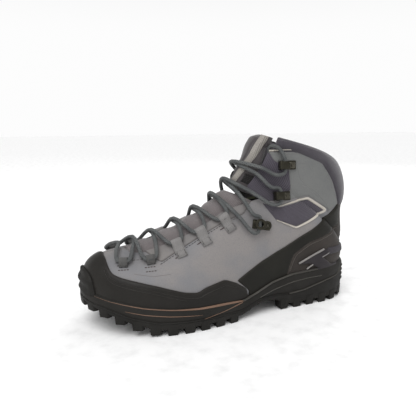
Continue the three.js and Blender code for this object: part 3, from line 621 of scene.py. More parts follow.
def set_places(bm: bmesh.types.BMesh, points: np.ndarray) -> None:
    """Moves every vertex of a bmesh to its point, given in millimetres."""
    for vert, point in zip(bm.verts, points * MM):
        vert.co = point


def outward(bm: bmesh.types.BMesh, merge: float = 0.02) -> None:
    """Merges doubled vertices and turns every face outwards."""
    bmesh.ops.remove_doubles(bm, verts=bm.verts[:], dist=merge * MM)
    bmesh.ops.recalc_face_normals(bm, faces=bm.faces[:])


def rounded(points: Sequence[Point], radius: float, closed: bool = True, steps: int = 4) -> list[Point]:
    """An outline with its corners rounded.

    Args:
        points: the corners.
        radius: how far from a corner its arc starts, held under half of each side.
        closed: whether the last point joins the first.
        steps: points on each arc.

    Returns:
        The outline's points.
    """
    corners = [np.array(p, float) for p in points]
    out: list[Point] = []
    for i, corner in enumerate(corners):
        if not closed and i in (0, len(corners) - 1):
            out.append(tuple(corner))
            continue
        before, after = corners[i - 1] - corner, corners[(i + 1) % len(corners)] - corner
        reach = min(radius, 0.45 * np.linalg.norm(before), 0.45 * np.linalg.norm(after))
        a = corner + before / np.linalg.norm(before) * reach
        b = corner + after / np.linalg.norm(after) * reach
        for t in np.linspace(0, 1, steps + 1):
            out.append(tuple((1 - t) ** 2 * a + 2 * t * (1 - t) * corner + t * t * b))
    return out


def edge_distance(points: np.ndarray, outline: Sequence[Point]) -> np.ndarray:
    """Distance in millimetres from each [x, z] to a closed outline."""
    ends = np.array(outline, float)
    best = np.full(len(points), 1e9)
    for a, b in zip(ends, np.roll(ends, -1, axis=0)):
        way = b - a
        t = np.clip(((points - a) @ way) / max(way @ way, 1e-9), 0, 1)
        best = np.minimum(best, np.linalg.norm(points - a - t[:, None] * way, axis=1))
    return best


def inside(points: np.ndarray, outline: Sequence[Point]) -> np.ndarray:
    """Whether each [x, z] lies inside a closed outline."""
    ends = np.array(outline, float)
    odd = np.zeros(len(points), bool)
    for a, b in zip(ends, np.roll(ends, -1, axis=0)):
        if a[1] == b[1]:
            continue
        crosses = (a[1] > points[:, 1]) != (b[1] > points[:, 1])
        x = a[0] + (points[:, 1] - a[1]) * (b[0] - a[0]) / (b[1] - a[1])
        odd ^= crosses & (points[:, 0] < x)
    return odd


@dataclass
class Sheet:
    """A thick sheet that lies on the form."""

    stations: tuple[float, float]
    low: Callable[[np.ndarray], np.ndarray]
    high: Callable[[np.ndarray], np.ndarray]
    base: float = 0.0  # height of its inner face
    thickness: float = 1.0
    cell: float = 1.8
    soften: float = 1.2  # how far in from its edge the sheet reaches its full thickness
    lip: float = 0.45  # share of the thickness that its edge keeps
    bm: bmesh.types.BMesh = field(default_factory=bmesh.new)

    def grid(self) -> None:
        """Lays a grid over the sheet's stretch of the form."""
        u0, u1 = self.stations
        run = np.interp((u0, u1), RUN_U, RUN_LENGTH)
        rows = max(int((run[1] - run[0]) / self.cell), 4)
        ends = np.array([(u0 + u1) / 2])
        left, right = float(self.low(ends)[0]), float(self.high(ends)[0])
        a = FORM.surface(np.repeat(ends, 40), np.linspace(left, right, 40))
        width = np.linalg.norm(np.diff(a, axis=0), axis=1).sum()
        columns = max(int(width / self.cell), 4)
        bmesh.ops.create_grid(self.bm, x_segments=columns, y_segments=rows, size=1)
        co = np.array([v.co[:] for v in self.bm.verts])
        length = run[0] + (co[:, 1] + 1) / 2 * (run[1] - run[0])
        u = np.interp(length, RUN_LENGTH, RUN_U)
        s = self.low(u) + (co[:, 0] + 1) / 2 * (self.high(u) - self.low(u))
        self.remember(u, s)
        set_places(self.bm, FORM.place(u, s, self.base))

    def remember(self, u: np.ndarray, s: np.ndarray) -> None:
        """Keeps each vertex's place on the form."""
        stations = self.bm.verts.layers.float.new("u")
        across = self.bm.verts.layers.float.new("s")
        for vert, a, b in zip(self.bm.verts, u, s):
            vert[stations] = a
            vert[across] = b

    def places(self, verts: Sequence[bmesh.types.BMVert]) -> tuple[np.ndarray, np.ndarray]:
        """The kept places of some vertices."""
        stations = self.bm.verts.layers.float["u"]
        across = self.bm.verts.layers.float["s"]
        return np.array([v[stations] for v in verts]), np.array([v[across] for v in verts])

    def trim(self, outline: Sequence[Point], keep_inside: bool = True) -> None:
        """Cuts the sheet along a side view outline.

        Args:
            outline: the closed outline's [x, z] points.
            keep_inside: whether the part inside the outline stays.
        """
        ends = np.array(outline, float)
        for a, b in zip(ends, np.roll(ends, -1, axis=0)):
            way = b - a
            length = np.linalg.norm(way)
            if length < 1e-6:
                continue
            self.bm.faces.ensure_lookup_table()
            centres = np.array([f.calc_center_median()[:] for f in self.bm.faces])[:, (0, 2)] / MM
            t = np.clip(((centres - a) @ way) / length**2, 0, 1)
            near = np.linalg.norm(centres - a - t[:, None] * way, axis=1) < 1.6 * self.cell
            faces = [self.bm.faces[i] for i in np.flatnonzero(near)]
            if not faces:
                continue
            parts = {*faces, *(e for f in faces for e in f.edges), *(v for f in faces for v in f.verts)}
            bmesh.ops.bisect_plane(
                self.bm, geom=list(parts), dist=1e-7, plane_co=(a[0] * MM, 0, a[1] * MM),
                plane_no=(way[1] / length, 0, -way[0] / length),
            )
        centres = np.array([f.calc_center_median()[:] for f in self.bm.faces])[:, (0, 2)] / MM
        wrong = inside(centres, outline) != keep_inside
        faces = [f for f, out in zip(self.bm.faces[:], wrong) if out]
        bmesh.ops.delete(self.bm, geom=faces, context="FACES")
        bmesh.ops.remove_doubles(self.bm, verts=self.bm.verts[:], dist=0.05 * MM)

    def thicken(self, outline: Sequence[Point] | None = None,
                puff: Callable[[np.ndarray, np.ndarray], np.ndarray] | None = None) -> None:
        """Gives the sheet its thickness, thinner along its edges.

        Args:
            outline: the outline whose nearness thins the sheet, or None for the sheet's own border.
            puff: added height in millimetres over u and s.
        """
        edge = self.bm.verts.layers.float.new("edge")
        if outline is None:
            rim = {v for e in self.bm.edges if e.is_boundary for v in e.verts}
            border = np.array([v.co[:] for v in rim]) / MM
        grown = bmesh.ops.extrude_face_region(self.bm, geom=self.bm.faces[:])
        outer = [g for g in grown["geom"] if isinstance(g, bmesh.types.BMVert)]
        u, s = self.places(outer)
        co = np.array([v.co[:] for v in outer]) / MM
        if outline is None:
            distance = np.empty(len(co))
            chunk = 2000
            for start in range(0, len(co), chunk):
                some = co[start:start + chunk]
                gaps = np.linalg.norm(some[:, None] - border[None], axis=2)
                distance[start:start + chunk] = gaps.min(axis=1)
        else:
            distance = edge_distance(co[:, (0, 2)], outline)
        inner = np.clip(distance / self.soften, 0, 1)
        rise = self.lip + (1 - self.lip) * np.sqrt(1 - (1 - inner) ** 2)
        height = self.base + self.thickness * rise
        if puff:
            height = height + puff(u, s) * smoothstep(0, 3 * self.soften, distance)
        for vert, point, near in zip(outer, FORM.place(u, s, height) * MM, inner):
            vert.co = point
            vert[edge] = float(smoothstep(0.0, 1.0, np.array(near)))
        bmesh.ops.recalc_face_normals(self.bm, faces=self.bm.faces[:])

    def unwrap(self) -> None:
        """Writes the sheet's own map, in metres over the form."""
        layer = self.bm.loops.layers.uv.new("UVMap")
        stations = self.bm.verts.layers.float["u"]
        across = self.bm.verts.layers.float["s"]
        run = {}
        for vert in self.bm.verts:
            run[vert] = (vert[across] * 0.1, float(np.interp(vert[stations], RUN_U, RUN_LENGTH)) * MM)
        for face in self.bm.faces:
            for loop in face.loops:
                loop[layer].uv = run[loop.vert]

    def finish(self, name: str, finish: Finish, body: str = "boot", nodes: Sequence[str] = (),
               sharp: float = 38.0) -> bpy.types.Object:
        """Maps the sheet and turns it into a piece."""
        self.unwrap()
        return linked(name, self.bm, finish, body, nodes, sharp)


def panel(name: str, finish: Finish, outline: Sequence[Point], side: Side, base: float, thickness: float,
          stations: tuple[float, float] = (0, 18), reach: tuple[float, float] = (0.02, 1.0),
          corner: float = 2.0, nodes: Sequence[str] = (), cell: float = 1.8) -> bpy.types.Object:
    """A panel on one side of the upper, cut to a side view outline.

    Args:
        name: the piece's name.
        finish: its finish.
        outline: [x, z] corners.
        side: the side it lies on.
        base: height of its inner face over the form.
        thickness: its thickness.
        stations: the stretch of stations that holds it.
        reach: the stretch of s that holds it.
        corner: the corners' rounding.
        nodes: CAD nodes that it stands for.
        cell: size of its grid's cells.

    Returns:
        The piece.
    """
    low, high = (side.value * r for r in reach)
    sheet = Sheet(stations, lambda u: np.full(len(u), low), lambda u: np.full(len(u), high),
                  base, thickness, cell)
    sheet.grid()
    shape = rounded(outline, corner)
    sheet.trim(shape)
    sheet.thicken(shape)
    return sheet.finish(name, finish, nodes=nodes)


class Surveyor:
    """Finds places on the form from the side view."""

    def __init__(self) -> None:
        """Builds a fine mesh of each side to look at."""
        self.trees = {}
        for side in Side:
            bm = bmesh.new()
            bmesh.ops.create_grid(bm, x_segments=90, y_segments=220, size=1)
            co = np.array([v.co[:] for v in bm.verts])
            u = np.interp((co[:, 1] + 1) / 2 * RUN_LENGTH[-1], RUN_LENGTH, RUN_U)
            set_places(bm, FORM.surface(u, side.value * (co[:, 0] + 1) / 2))
            bm.normal_update()
            self.trees[side] = BVHTree.FromBMesh(bm)
            bm.free()

    def spot(self, side: Side, x: float, z: float) -> tuple[np.ndarray, np.ndarray]:
        """The form's point and outward direction seen at x and z from one side, in millimetres."""
        start = Vector((x * MM, side.value * 0.2, z * MM))
        hit, normal, _, _ = self.trees[side].ray_cast(start, Vector((0, -side.value, 0)))
        if hit is None:
            hit, normal, _, _ = self.trees[side].find_nearest(Vector((x * MM, side.value * 0.03, z * MM)))
        out = np.array(normal)
        if out[1] * side.value < 0:
            out = -out
        return np.array(hit) / MM, out

    def path(self, side: Side, points: Sequence[Point], step: float = 2.0,
             smooth: int = 2) -> tuple[np.ndarray, np.ndarray]:
        """A line on the form over side view points, with its outward directions."""
        corners = np.array(points, float)
        run = np.concatenate([[0], np.cumsum(np.linalg.norm(np.diff(corners, axis=0), axis=1))])
        at = np.linspace(0, run[-1], max(int(run[-1] / step), 2) + 1)
        xs, zs = (np.interp(at, run, corners[:, k]) for k in (0, 1))
        spots = [self.spot(side, x, z) for x, z in zip(xs, zs)]
        line = np.array([p for p, _ in spots])
        outs = np.array([o for _, o in spots])
        for _ in range(smooth):
            if len(outs) > 2:
                outs[1:-1] = (outs[:-2] + outs[1:-1] + outs[2:]) / 3
                line[1:-1, 1] = (line[:-2, 1] + 2 * line[1:-1, 1] + line[2:, 1]) / 4
        return line, outs / np.linalg.norm(outs, axis=1)[:, None]


SURVEY = Surveyor()


@dataclass
class Bead:
    """A raised line with a rounded section, such as a rib, a piping or a stitch."""

    width: float = 1.2
    height: float = 0.6
    sink: float = 0.4

    def add(self, bm: bmesh.types.BMesh, line: np.ndarray, outs: np.ndarray,
            widths: np.ndarray | None = None) -> None:
        """Adds a bead along a line to a bmesh.

        Args:
            bm: the mesh that grows.
            line: points in millimetres.
            outs: the direction out of the surface at each point.
            widths: the width at each point; the bead's own where it is None.
        """
        way = np.gradient(line, axis=0)
        way /= np.maximum(np.linalg.norm(way, axis=1), 1e-9)[:, None]
        across = np.cross(outs, way)
        across /= np.maximum(np.linalg.norm(across, axis=1), 1e-9)[:, None]
        half = (np.full(len(line), self.width) if widths is None else widths)[:, None] / 2
        shape = [(-1, -self.sink), (-0.8, 0.45 * self.height), (0, self.height),
                 (0.8, 0.45 * self.height), (1, -self.sink)]
        rings = np.stack([line + across * half * a + outs * h for a, h in shape], 1)
        layer = bm.loops.layers.uv.verify()
        run = np.concatenate([[0], np.cumsum(np.linalg.norm(np.diff(line, axis=0), axis=1))]) * MM
        verts = [[bm.verts.new(p * MM) for p in ring] for ring in rings]
        for i in range(len(verts) - 1):
            for j in range(5):
                k = (j + 1) % 5
                face = bm.faces.new((verts[i][j], verts[i][k], verts[i + 1][k], verts[i + 1][j]))
                uvs = ((j, i), (j + 1, i), (j + 1, i + 1), (j, i + 1))
                for loop, (a, b) in zip(face.loops, uvs):
                    loop[layer].uv = (a * 0.25 * self.width * MM, run[b])
        bm.faces.new(verts[0][::-1])
        bm.faces.new(verts[-1])

    def line(self, name: str, finish: Finish, side: Side, points: Sequence[Point], height: float,
             step: float = 2.0, body: str = "boot") -> bpy.types.Object:
        """A bead along side view points, at a height over the form, as a piece."""
        bm = bmesh.new()
        line, outs = SURVEY.path(side, points, step)
        self.add(bm, line + outs * height, outs)
        bmesh.ops.recalc_face_normals(bm, faces=bm.faces[:])
        return linked(name, bm, finish, body, sharp=60)


def stitch_rows(name: str, finish: Finish, side: Side, rows: Sequence[Sequence[Point]], height: float,
                length: float, gap: float, width: float = 0.7) -> bpy.types.Object:
    """Rows of stitches along side view lines.

    Args:
        name: the piece's name.
        finish: the thread's finish.
        side: the side they lie on.
        rows: the lines that they follow, each a list of [x, z].
        height: the height over the form of what they hold.
        length: a stitch's length.
        gap: the gap between stitches.
        width: the thread's width.

    Returns:
        The piece that holds every stitch.
    """
    bm = bmesh.new()
    bead = Bead(width, 0.35, 0.3)
    for row in rows:
        line, outs = SURVEY.path(side, row, 0.5)
        run = np.concatenate([[0], np.cumsum(np.linalg.norm(np.diff(line, axis=0), axis=1))])
        start = 0.0
        while start + length <= run[-1] + 1e-6:
            at = np.linspace(start, start + length, 3)
            points = np.stack([np.interp(at, run, line[:, k]) for k in range(3)], 1)
            ways = np.stack([np.interp(at, run, outs[:, k]) for k in range(3)], 1)
            bead.add(bm, points + ways * height, ways)
            start += length + gap
    bmesh.ops.recalc_face_normals(bm, faces=bm.faces[:])
    return linked(name, bm, finish, "boot", sharp=60)


def loft(rings: Sequence[np.ndarray], caps: bool = True) -> bmesh.types.BMesh:
    """A closed body through rings of points in millimetres, from its lowest ring to its highest."""
    bm = bmesh.new()
    count = len(rings[0])
    bmesh.ops.create_grid(bm, x_segments=count, y_segments=len(rings) - 1, size=1)
    stack = np.array(rings)
    for vert in bm.verts:
        column = round((vert.co.x + 1) / 2 * count) % count
        row = round((vert.co.y + 1) / 2 * (len(rings) - 1))
        vert.co = stack[row, column] * MM
    bmesh.ops.remove_doubles(bm, verts=bm.verts[:], dist=1e-6)
    if caps:
        made = bmesh.ops.holes_fill(bm, edges=[e for e in bm.edges if e.is_boundary], sides=0)
        bmesh.ops.triangulate(bm, faces=made["faces"])
    layer = bm.loops.layers.uv.verify()
    for face in bm.faces:
        for loop in face.loops:
            loop[layer].uv = (loop.vert.co.x, loop.vert.co.z)
    bmesh.ops.recalc_face_normals(bm, faces=bm.faces[:])
    return bm


def block(size: tuple[float, float, float], centre: tuple[float, float, float], place: Place,
          bm: bmesh.types.BMesh, bevel: float = 0.5, taper: float = 1.0) -> None:
    """Adds a bevelled block to a bmesh, in a place's own directions (down, up, out).

    Args:
        size: its sizes in millimetres.
        centre: its middle.
        place: the place whose directions it is drawn in.
        bm: the mesh that grows.
        bevel: its edges' rounding.
        taper: how much narrower its outer face is.
    """
    made = bmesh.ops.create_cube(bm, size=1)
    for vert in made["verts"]:
        narrow = taper if vert.co.z > 0 else 1.0
        vert.co = Vector((vert.co.x * size[0] * narrow + centre[0], vert.co.y * size[1] * narrow + centre[1],
                          vert.co.z * size[2] + centre[2])) * MM
    edges = list({e for v in made["verts"] for e in v.link_edges})
    cut = bmesh.ops.bevel(bm, geom=edges, offset=bevel * MM, segments=2, profile=0.5, affect="EDGES",
                          material=-1)
    verts = {v for f in cut["faces"] for v in f.verts} | {v for v in made["verts"] if v.is_valid}
    bmesh.ops.transform(bm, matrix=place.matrix(), verts=list(verts))


# ---------------------------------------------------------------- the upper


@dataclass
class Upper:
    """The textile shell with its films, inserts and seams."""

    throat: tuple[Point, ...] = (
        (3.2, 0.06), (3.7, 0.2), (4.6, 0.25), (7, 0.26), (8.5, 0.25), (9.6, 0.31), (11, 0.35),
        (12, 0.33), (14, 0.27), (16, 0.26), (18, 0.24),
    )
    insert: tuple[Point, ...] = ((33, 116), (51, 110.5), (85, 117), (108, 103.5), (70, 90), (47, 98))
    trim_width: float = 2.6
    film: tuple[Point, ...] = (
        (43, 168.5), (92, 168.5), (104, 153.5), (117, 136.5), (126.5, 119), (131, 108.5), (112.5, 100.5),
        (115, 103.6), (85.2, 122), (57, 116.8), (64.5, 129), (62, 150), (47, 160),
    )
    patch: tuple[Point, ...] = (
        (17, 118), (64, 118), (66, 129), (63.5, 151), (48.5, 161.5), (42, 168), (24, 150),
    )
    eyestay: tuple[Point, ...] = (
        (-78, 66), (-43, 82), (-5, 100), (13, 106), (24, 122), (-6, 132), (-60, 110), (-96, 82), (-92, 76),
    )

    def opening(self, u: np.ndarray) -> np.ndarray:
        """Half the throat's width in s at each station."""
        return along(self.throat, u)

    def shell(self) -> None:
        """The shell of the upper, open along the throat."""
        sheet = Sheet((0, 18), lambda u: -np.ones(len(u)), lambda u: np.ones(len(u)), -1.5, 1.5, 2.2)
        rows, columns = 150, 104
        bmesh.ops.create_grid(sheet.bm, x_segments=columns, y_segments=rows, size=1)
        co = np.array([v.co[:] for v in sheet.bm.verts])
        u = np.interp((co[:, 1] + 1) / 2 * RUN_LENGTH[-1], RUN_LENGTH, RUN_U)
        k = np.abs(co[:, 0])
        middle = 0.25
        width = self.opening(u)
        s = np.where(k < middle, k / middle * width, width + (k - middle) / (1 - middle) * (1 - width))
        sheet.remember(u, s * np.sign(co[:, 0]))
        set_places(sheet.bm, FORM.place(u, s * np.sign(co[:, 0]), sheet.base))
        across = sheet.bm.verts.layers.float["s"]
        stations = sheet.bm.verts.layers.float["u"]
        gone = []
        for face in sheet.bm.faces:
            mu = sum(v[stations] for v in face.verts) / len(face.verts)
            ms = abs(sum(v[across] for v in face.verts) / len(face.verts))
            if mu > self.throat[0][0] and ms < float(self.opening(np.array([mu]))[0]) * 0.99:
                gone.append(face)
        bmesh.ops.delete(sheet.bm, geom=gone, context="FACES")
        sheet.thicken()
        bmesh.ops.remove_doubles(sheet.bm, verts=sheet.bm.verts[:], dist=0.03 * MM)
        sheet.finish("upper_shell", VAMP, nodes=("upper",))

    def lining(self) -> None:
        """The knitted lining that shows in the mouth of the boot."""
        for side in Side:
            sheet = Sheet((7.5, 18), lambda u: side.value * (self.opening(u) + 0.11),
                          lambda u: np.full(len(u), side.value * 1.0), -5.9, 1.0, 3.0)
            sheet.grid()
            sheet.thicken()
            nodes = ("lining",) if side is Side.LATERAL else ()
            sheet.finish("lining_" + side.label, LINING, nodes=nodes)

    def films(self, side: Side) -> None:
        """The welded films and inserts of one side."""
        name = side.label
        panel("shaft_film_" + name, FILM, self.film, side, 0.1, 0.9, (11, 18), nodes=("ankle_panel_" + name,))
        panel("shaft_patch_" + name, INSERT, self.patch, side, 0.05, 0.45, (10.8, 18), (0.2, 1.0), 1.5,
              (), 1.4)
        panel("ankle_insert_cloth_" + name, INSERT, self.insert, side, 0.1, 0.6, (8.5, 18), corner=1.5,
              nodes=("ankle_insert_" + name,))
        bead = Bead(self.trim_width, 0.9, 0.2)
        open_line = [(49.5, 112.3), (52, 112.3), (85, 119), (111, 103.5), (70, 88), (47.5, 97.8)]
        bm = bmesh.new()
        line, outs = SURVEY.path(side, rounded(open_line, 2.5, closed=False, steps=3), 1.2, 1)
        widths = np.interp(np.linspace(0, 1, len(line)), (0, 0.3, 0.55, 1), (1.2, 2.8, 3.2, 1.0))
        bead.add(bm, line + outs * 0.6, outs, widths)
        bmesh.ops.recalc_face_normals(bm, faces=bm.faces[:])
        linked("ankle_trim_film_" + name, bm, TRIM, "boot", ("ankle_trim_" + name,), 60)
        for index, points in enumerate((
            [(45, 166.5), (90, 166.3), (101, 152), (114, 135), (123.5, 118)],
            [(71, 157), (85, 156), (88, 150)],
            [(71, 157), (74.5, 140), (97, 121)],
            [(76, 133), (92, 128.5), (112, 109)],
        )):
            Bead(0.9, 0.35, 0.3).line(f"film_emboss_{index}_{name}", FILM_LINE, side,
                                      rounded(points, 4, False), 0.9)
        piping = [(43.5, 169.6), (58, 170.8), (66, 171)]
        Bead(1.8, 0.9, 0.5).line("front_piping_" + name, TRIM, side, piping, 1.2)

    def seams(self, side: Side) -> None:
        """Stitched and pressed lines of one side of the vamp."""
        name = side.label
        sheet = Sheet((3.4, 11.2), lambda u: side.value * (self.opening(u) - 0.004),
                      lambda u: np.full(len(u), side.value * 0.62), 0.05, 0.55, 1.6)
        sheet.grid()
        shape = rounded(self.eyestay, 3)
        sheet.trim(shape)
        sheet.thicken(shape)
        sheet.finish("eyestay_film_" + name, EYESTAY)
        edge = [(-79, 64.6), (-43, 80.6), (-5, 98.6), (12, 104.5)]
        stitch_rows("eyestay_stitches_" + name, GREY_THREAD, side, [edge], 0.3, 2.0, 1.4, 0.5)
        rows = []
        for x, z in ((-113, 63.5), (-89, 62.0)):
            for drop in (0.0, -3.2):
                rows.append([(x - 5, z + drop + 0.6), (x + 5, z + drop + 1.2)])
        stitch_rows("loop_bar_tacks_" + name, THREAD, side, rows, 0.1, 1.7, 1.0, 0.9)
        dashes = [[(-64, 68.6), (-55, 72.8)], [(-40, 79.2), (-31, 83.4)], [(-14, 91.2), (-4, 95.8)]]
        stitch_rows("strap_bar_tacks_" + name, THREAD, side, dashes, 0.1, 9.0, 2.0, 1.0)
        toe_seam = [(-119, 66), (-104, 68), (-84, 69)]
        stitch_rows("toe_seam_" + name, GREY_THREAD, side, [toe_seam], 0.05, 2.4, 1.6, 0.5)
        press = [(-105, 58), (-88, 55.5), (-72, 56.5)]
        Bead(0.7, 0.25, 0.3).line("toe_press_line_" + name, VAMP, side, press, 0.0)

    def build(self) -> None:
        """Makes the upper."""
        self.shell()
        self.lining()
        for side in Side:
            self.films(side)
            self.seams(side)


@dataclass
class Rand:
    """The rubber rand, the side bands and the heel panel."""

    edge: tuple[Point, ...] = (
        (-127, 112), (-126, 64), (-124, 58), (-117, 55), (-87, 47.5), (-61, 39.5), (-48, 37.5),
        (-40, 41), (-18, 45.3), (-5, 40), (8, 31), (12, 0), (-175, 0), (-175, 112),
    )
    rib_drop: float = 4.5
    band: tuple[Point, ...] = (
        (133, 108), (104.5, 92.4), (58, 69), (26.6, 56), (-3, 41.5), (11, 29), (13, 0), (59, 0),
        (60, 39), (67, 59), (87, 71), (133, 84),
    )
    heel: tuple[Point, ...] = (
        (58.6, 0), (60, 39), (67, 59), (87, 71), (133, 84), (133, 108), (175, 112), (175, 0),
    )

    def toe(self) -> None:
        """The rand round the toe, in one sheet."""
        sheet = Sheet((0, 12), lambda u: -np.ones(len(u)), lambda u: np.ones(len(u)), 0.0, 2.3, 1.8)
        sheet.grid()
        bmesh.ops.remove_doubles(sheet.bm, verts=sheet.bm.verts[:], dist=0.03 * MM)
        shape = rounded(self.edge, 3.5)
        sheet.trim(shape)
        sheet.soften = 2.0
        sheet.thicken(shape)
        stations = sheet.bm.verts.layers.float["u"]
        across = sheet.bm.verts.layers.float["s"]
        crown = [v for v in sheet.bm.verts if 0.4 < v[stations] < 3 and abs(v[across]) < 0.45]
        for _ in range(6):
            bmesh.ops.smooth_vert(sheet.bm, verts=crown, factor=0.5, use_axis_x=True, use_axis_y=True,
                                  use_axis_z=True)
        sheet.finish("toe_rand", RAND, nodes=("rand",))
        for side in Side:
            for index, drop in enumerate((self.rib_drop, self.rib_drop + 2.6)):
                line = [(-128.2 - index, 63.5 - drop * 0.5), (-125.5 - index, 58 - drop), (-117, 54.5 - drop),
                        (-87, 47 - drop), (-61, 39 - drop), (-48, 37 - drop), (-39, 40.5 - drop),
                        (-18, 44.6 - drop), (-6, 39.5 - drop)]
                if index and side is Side.MEDIAL:
                    continue
                points = rounded(line if not index else line[:5], 3.5, False)
                Bead(1.0, 0.5, 0.5).line(f"rand_rib_{index}_{side.label}", RAND_LINE, side, points, 2.15)

    def sides(self, side: Side) -> None:
        """The band and the heel panel of one side."""
        name = side.label
        panel("side_band_rubber_" + name, BAND, self.band, side, 0.0, 1.9, (6.5, 18), (0.25, 1.0),
              nodes=("side_band_" + name,))
        panel("heel_cloth_" + name, HEEL_CLOTH, self.heel, side, 0.0, 1.3, (8.6, 18), (0.4, 1.0),
              nodes=("heel_panel",) if side is Side.LATERAL else ())
        Bead(1.1, 0.55, 0.4).line("heel_panel_rib_" + name, HEEL_CLOTH, side,
                                  rounded([(63, 41), (69.5, 57.5), (89, 69), (131, 81)], 5, False), 1.3)

    def build(self) -> None:
        """Makes the rand and what joins it."""
        self.toe()
        for side in Side:
            self.sides(side)


@dataclass
class Collar:
    """The padded collar that rolls over the shaft's rim."""

    line: tuple[Point, ...] = (
        (30, 170.5), (93, 171), (107, 153.5), (120, 136.5), (129, 119.5), (133.5, 106), (175, 101),
    )
    front: float = 0.224
    outside: float = 3.0
    inside: float = -6.2
    depth: float = 34.0
    columns: int = 150
    drawn_in: float = 0.25  # how far the two end sections draw in to their middle
    shaft_middle: float = 0.09  # metres along x, where the cloth's threads centre
    shaft_radius: float = 0.045

    def start(self, s: float) -> float:
        """The station where the collar leaves the shaft at one s."""
        u = np.linspace(9, 18, 120)
        p = FORM.surface(u, np.full(len(u), s))
        above = ~inside(p[:, (0, 2)], [(-200, self.line[0][1]), *self.line, (175, 0), (-200, 0)])
        return float(u[np.argmax(above)]) if above.any() else 17.8

    def section(self, s: float) -> np.ndarray:
        """The collar's section at one s: points from the shaft's outside over the rim to its inside."""
        start = min(self.start(s), 17.4)
        heights = [(start - 0.12, 0.3), (start - 0.02, 1.9)]
        heights += [(start + (18 - start) * t, self.outside + math.sin(math.pi * t))
                    for t in (0.12, 0.35, 0.6, 0.8)]
        outer = [FORM.spot(u, s, h) for u, h in heights]
        rim, normal = FORM.spot(18, s, 0), FORM.normal(np.array([18.0]), np.array([s]))[0]
        flat = np.array([normal[0], normal[1], 0.0])
        flat /= np.linalg.norm(flat)
        middle = (self.outside + self.inside) / 2
        half = (self.outside - self.inside) / 2
        roll = []
        for angle in np.linspace(math.radians(15), math.radians(165), 7):
            lift = half * (math.sin(angle) * 0.85 - 0.75)
            roll.append(rim + flat * (middle + half * math.cos(angle)) + np.array([0, 0, lift]))
        inner = [rim + flat * (self.inside - bulge) - np.array([0, 0, drop])
                 for drop, bulge in ((6, 0.9), (16, 1.6), (26, 0.9), (self.depth, -1.0))]
        return np.array([*outer, *roll, *inner])

    def build(self) -> None:
        """Makes the collar, from its front corner round the back to the other."""
        t = np.linspace(0, 1, self.columns + 1)
        reach = (1 - self.front) * 2
        s = np.where(t < 0.5, -(self.front + reach * t), self.front + reach * (1 - t))
        s = np.where(np.abs(np.abs(s) - 1) < 1e-6, 0.999 * np.sign(s), s)
        sections = np.array([self.section(float(value)) for value in s])
        for _ in range(3):
            sections[1:-1] = (sections[:-2] + 2 * sections[1:-1] + sections[2:]) / 4
        for end in (0, -1):
            sections[end] = sections[end] * (1 - self.drawn_in) + sections[end].mean(0) * self.drawn_in
        bm = bmesh.new()
        rows = sections.shape[1]
        bmesh.ops.create_grid(bm, x_segments=self.columns, y_segments=rows, size=1)
        layer = bm.loops.layers.uv.verify()
        for vert in bm.verts:
            column = round((vert.co.x + 1) / 2 * self.columns)
            row = round((vert.co.y + 1) / 2 * rows) % rows
            vert.co = sections[column, row] * MM
        for face in bm.faces:
            for loop in face.loops:
                co = loop.vert.co
                loop[layer].uv = (math.atan2(co.y, co.x - self.shaft_middle) * self.shaft_radius, co.z)
        bmesh.ops.remove_doubles(bm, verts=bm.verts[:], dist=1e-6)
        bmesh.ops.holes_fill(bm, edges=[e for e in bm.edges if e.is_boundary], sides=0)
        bmesh.ops.recalc_face_normals(bm, faces=bm.faces[:])
        pad = linked("collar_padding", bm, COLLAR, "boot", ("collar_pad",), 70)
        smooth = pad.modifiers.new("rounding", "SUBSURF")
        smooth.levels = smooth.render_levels = 1


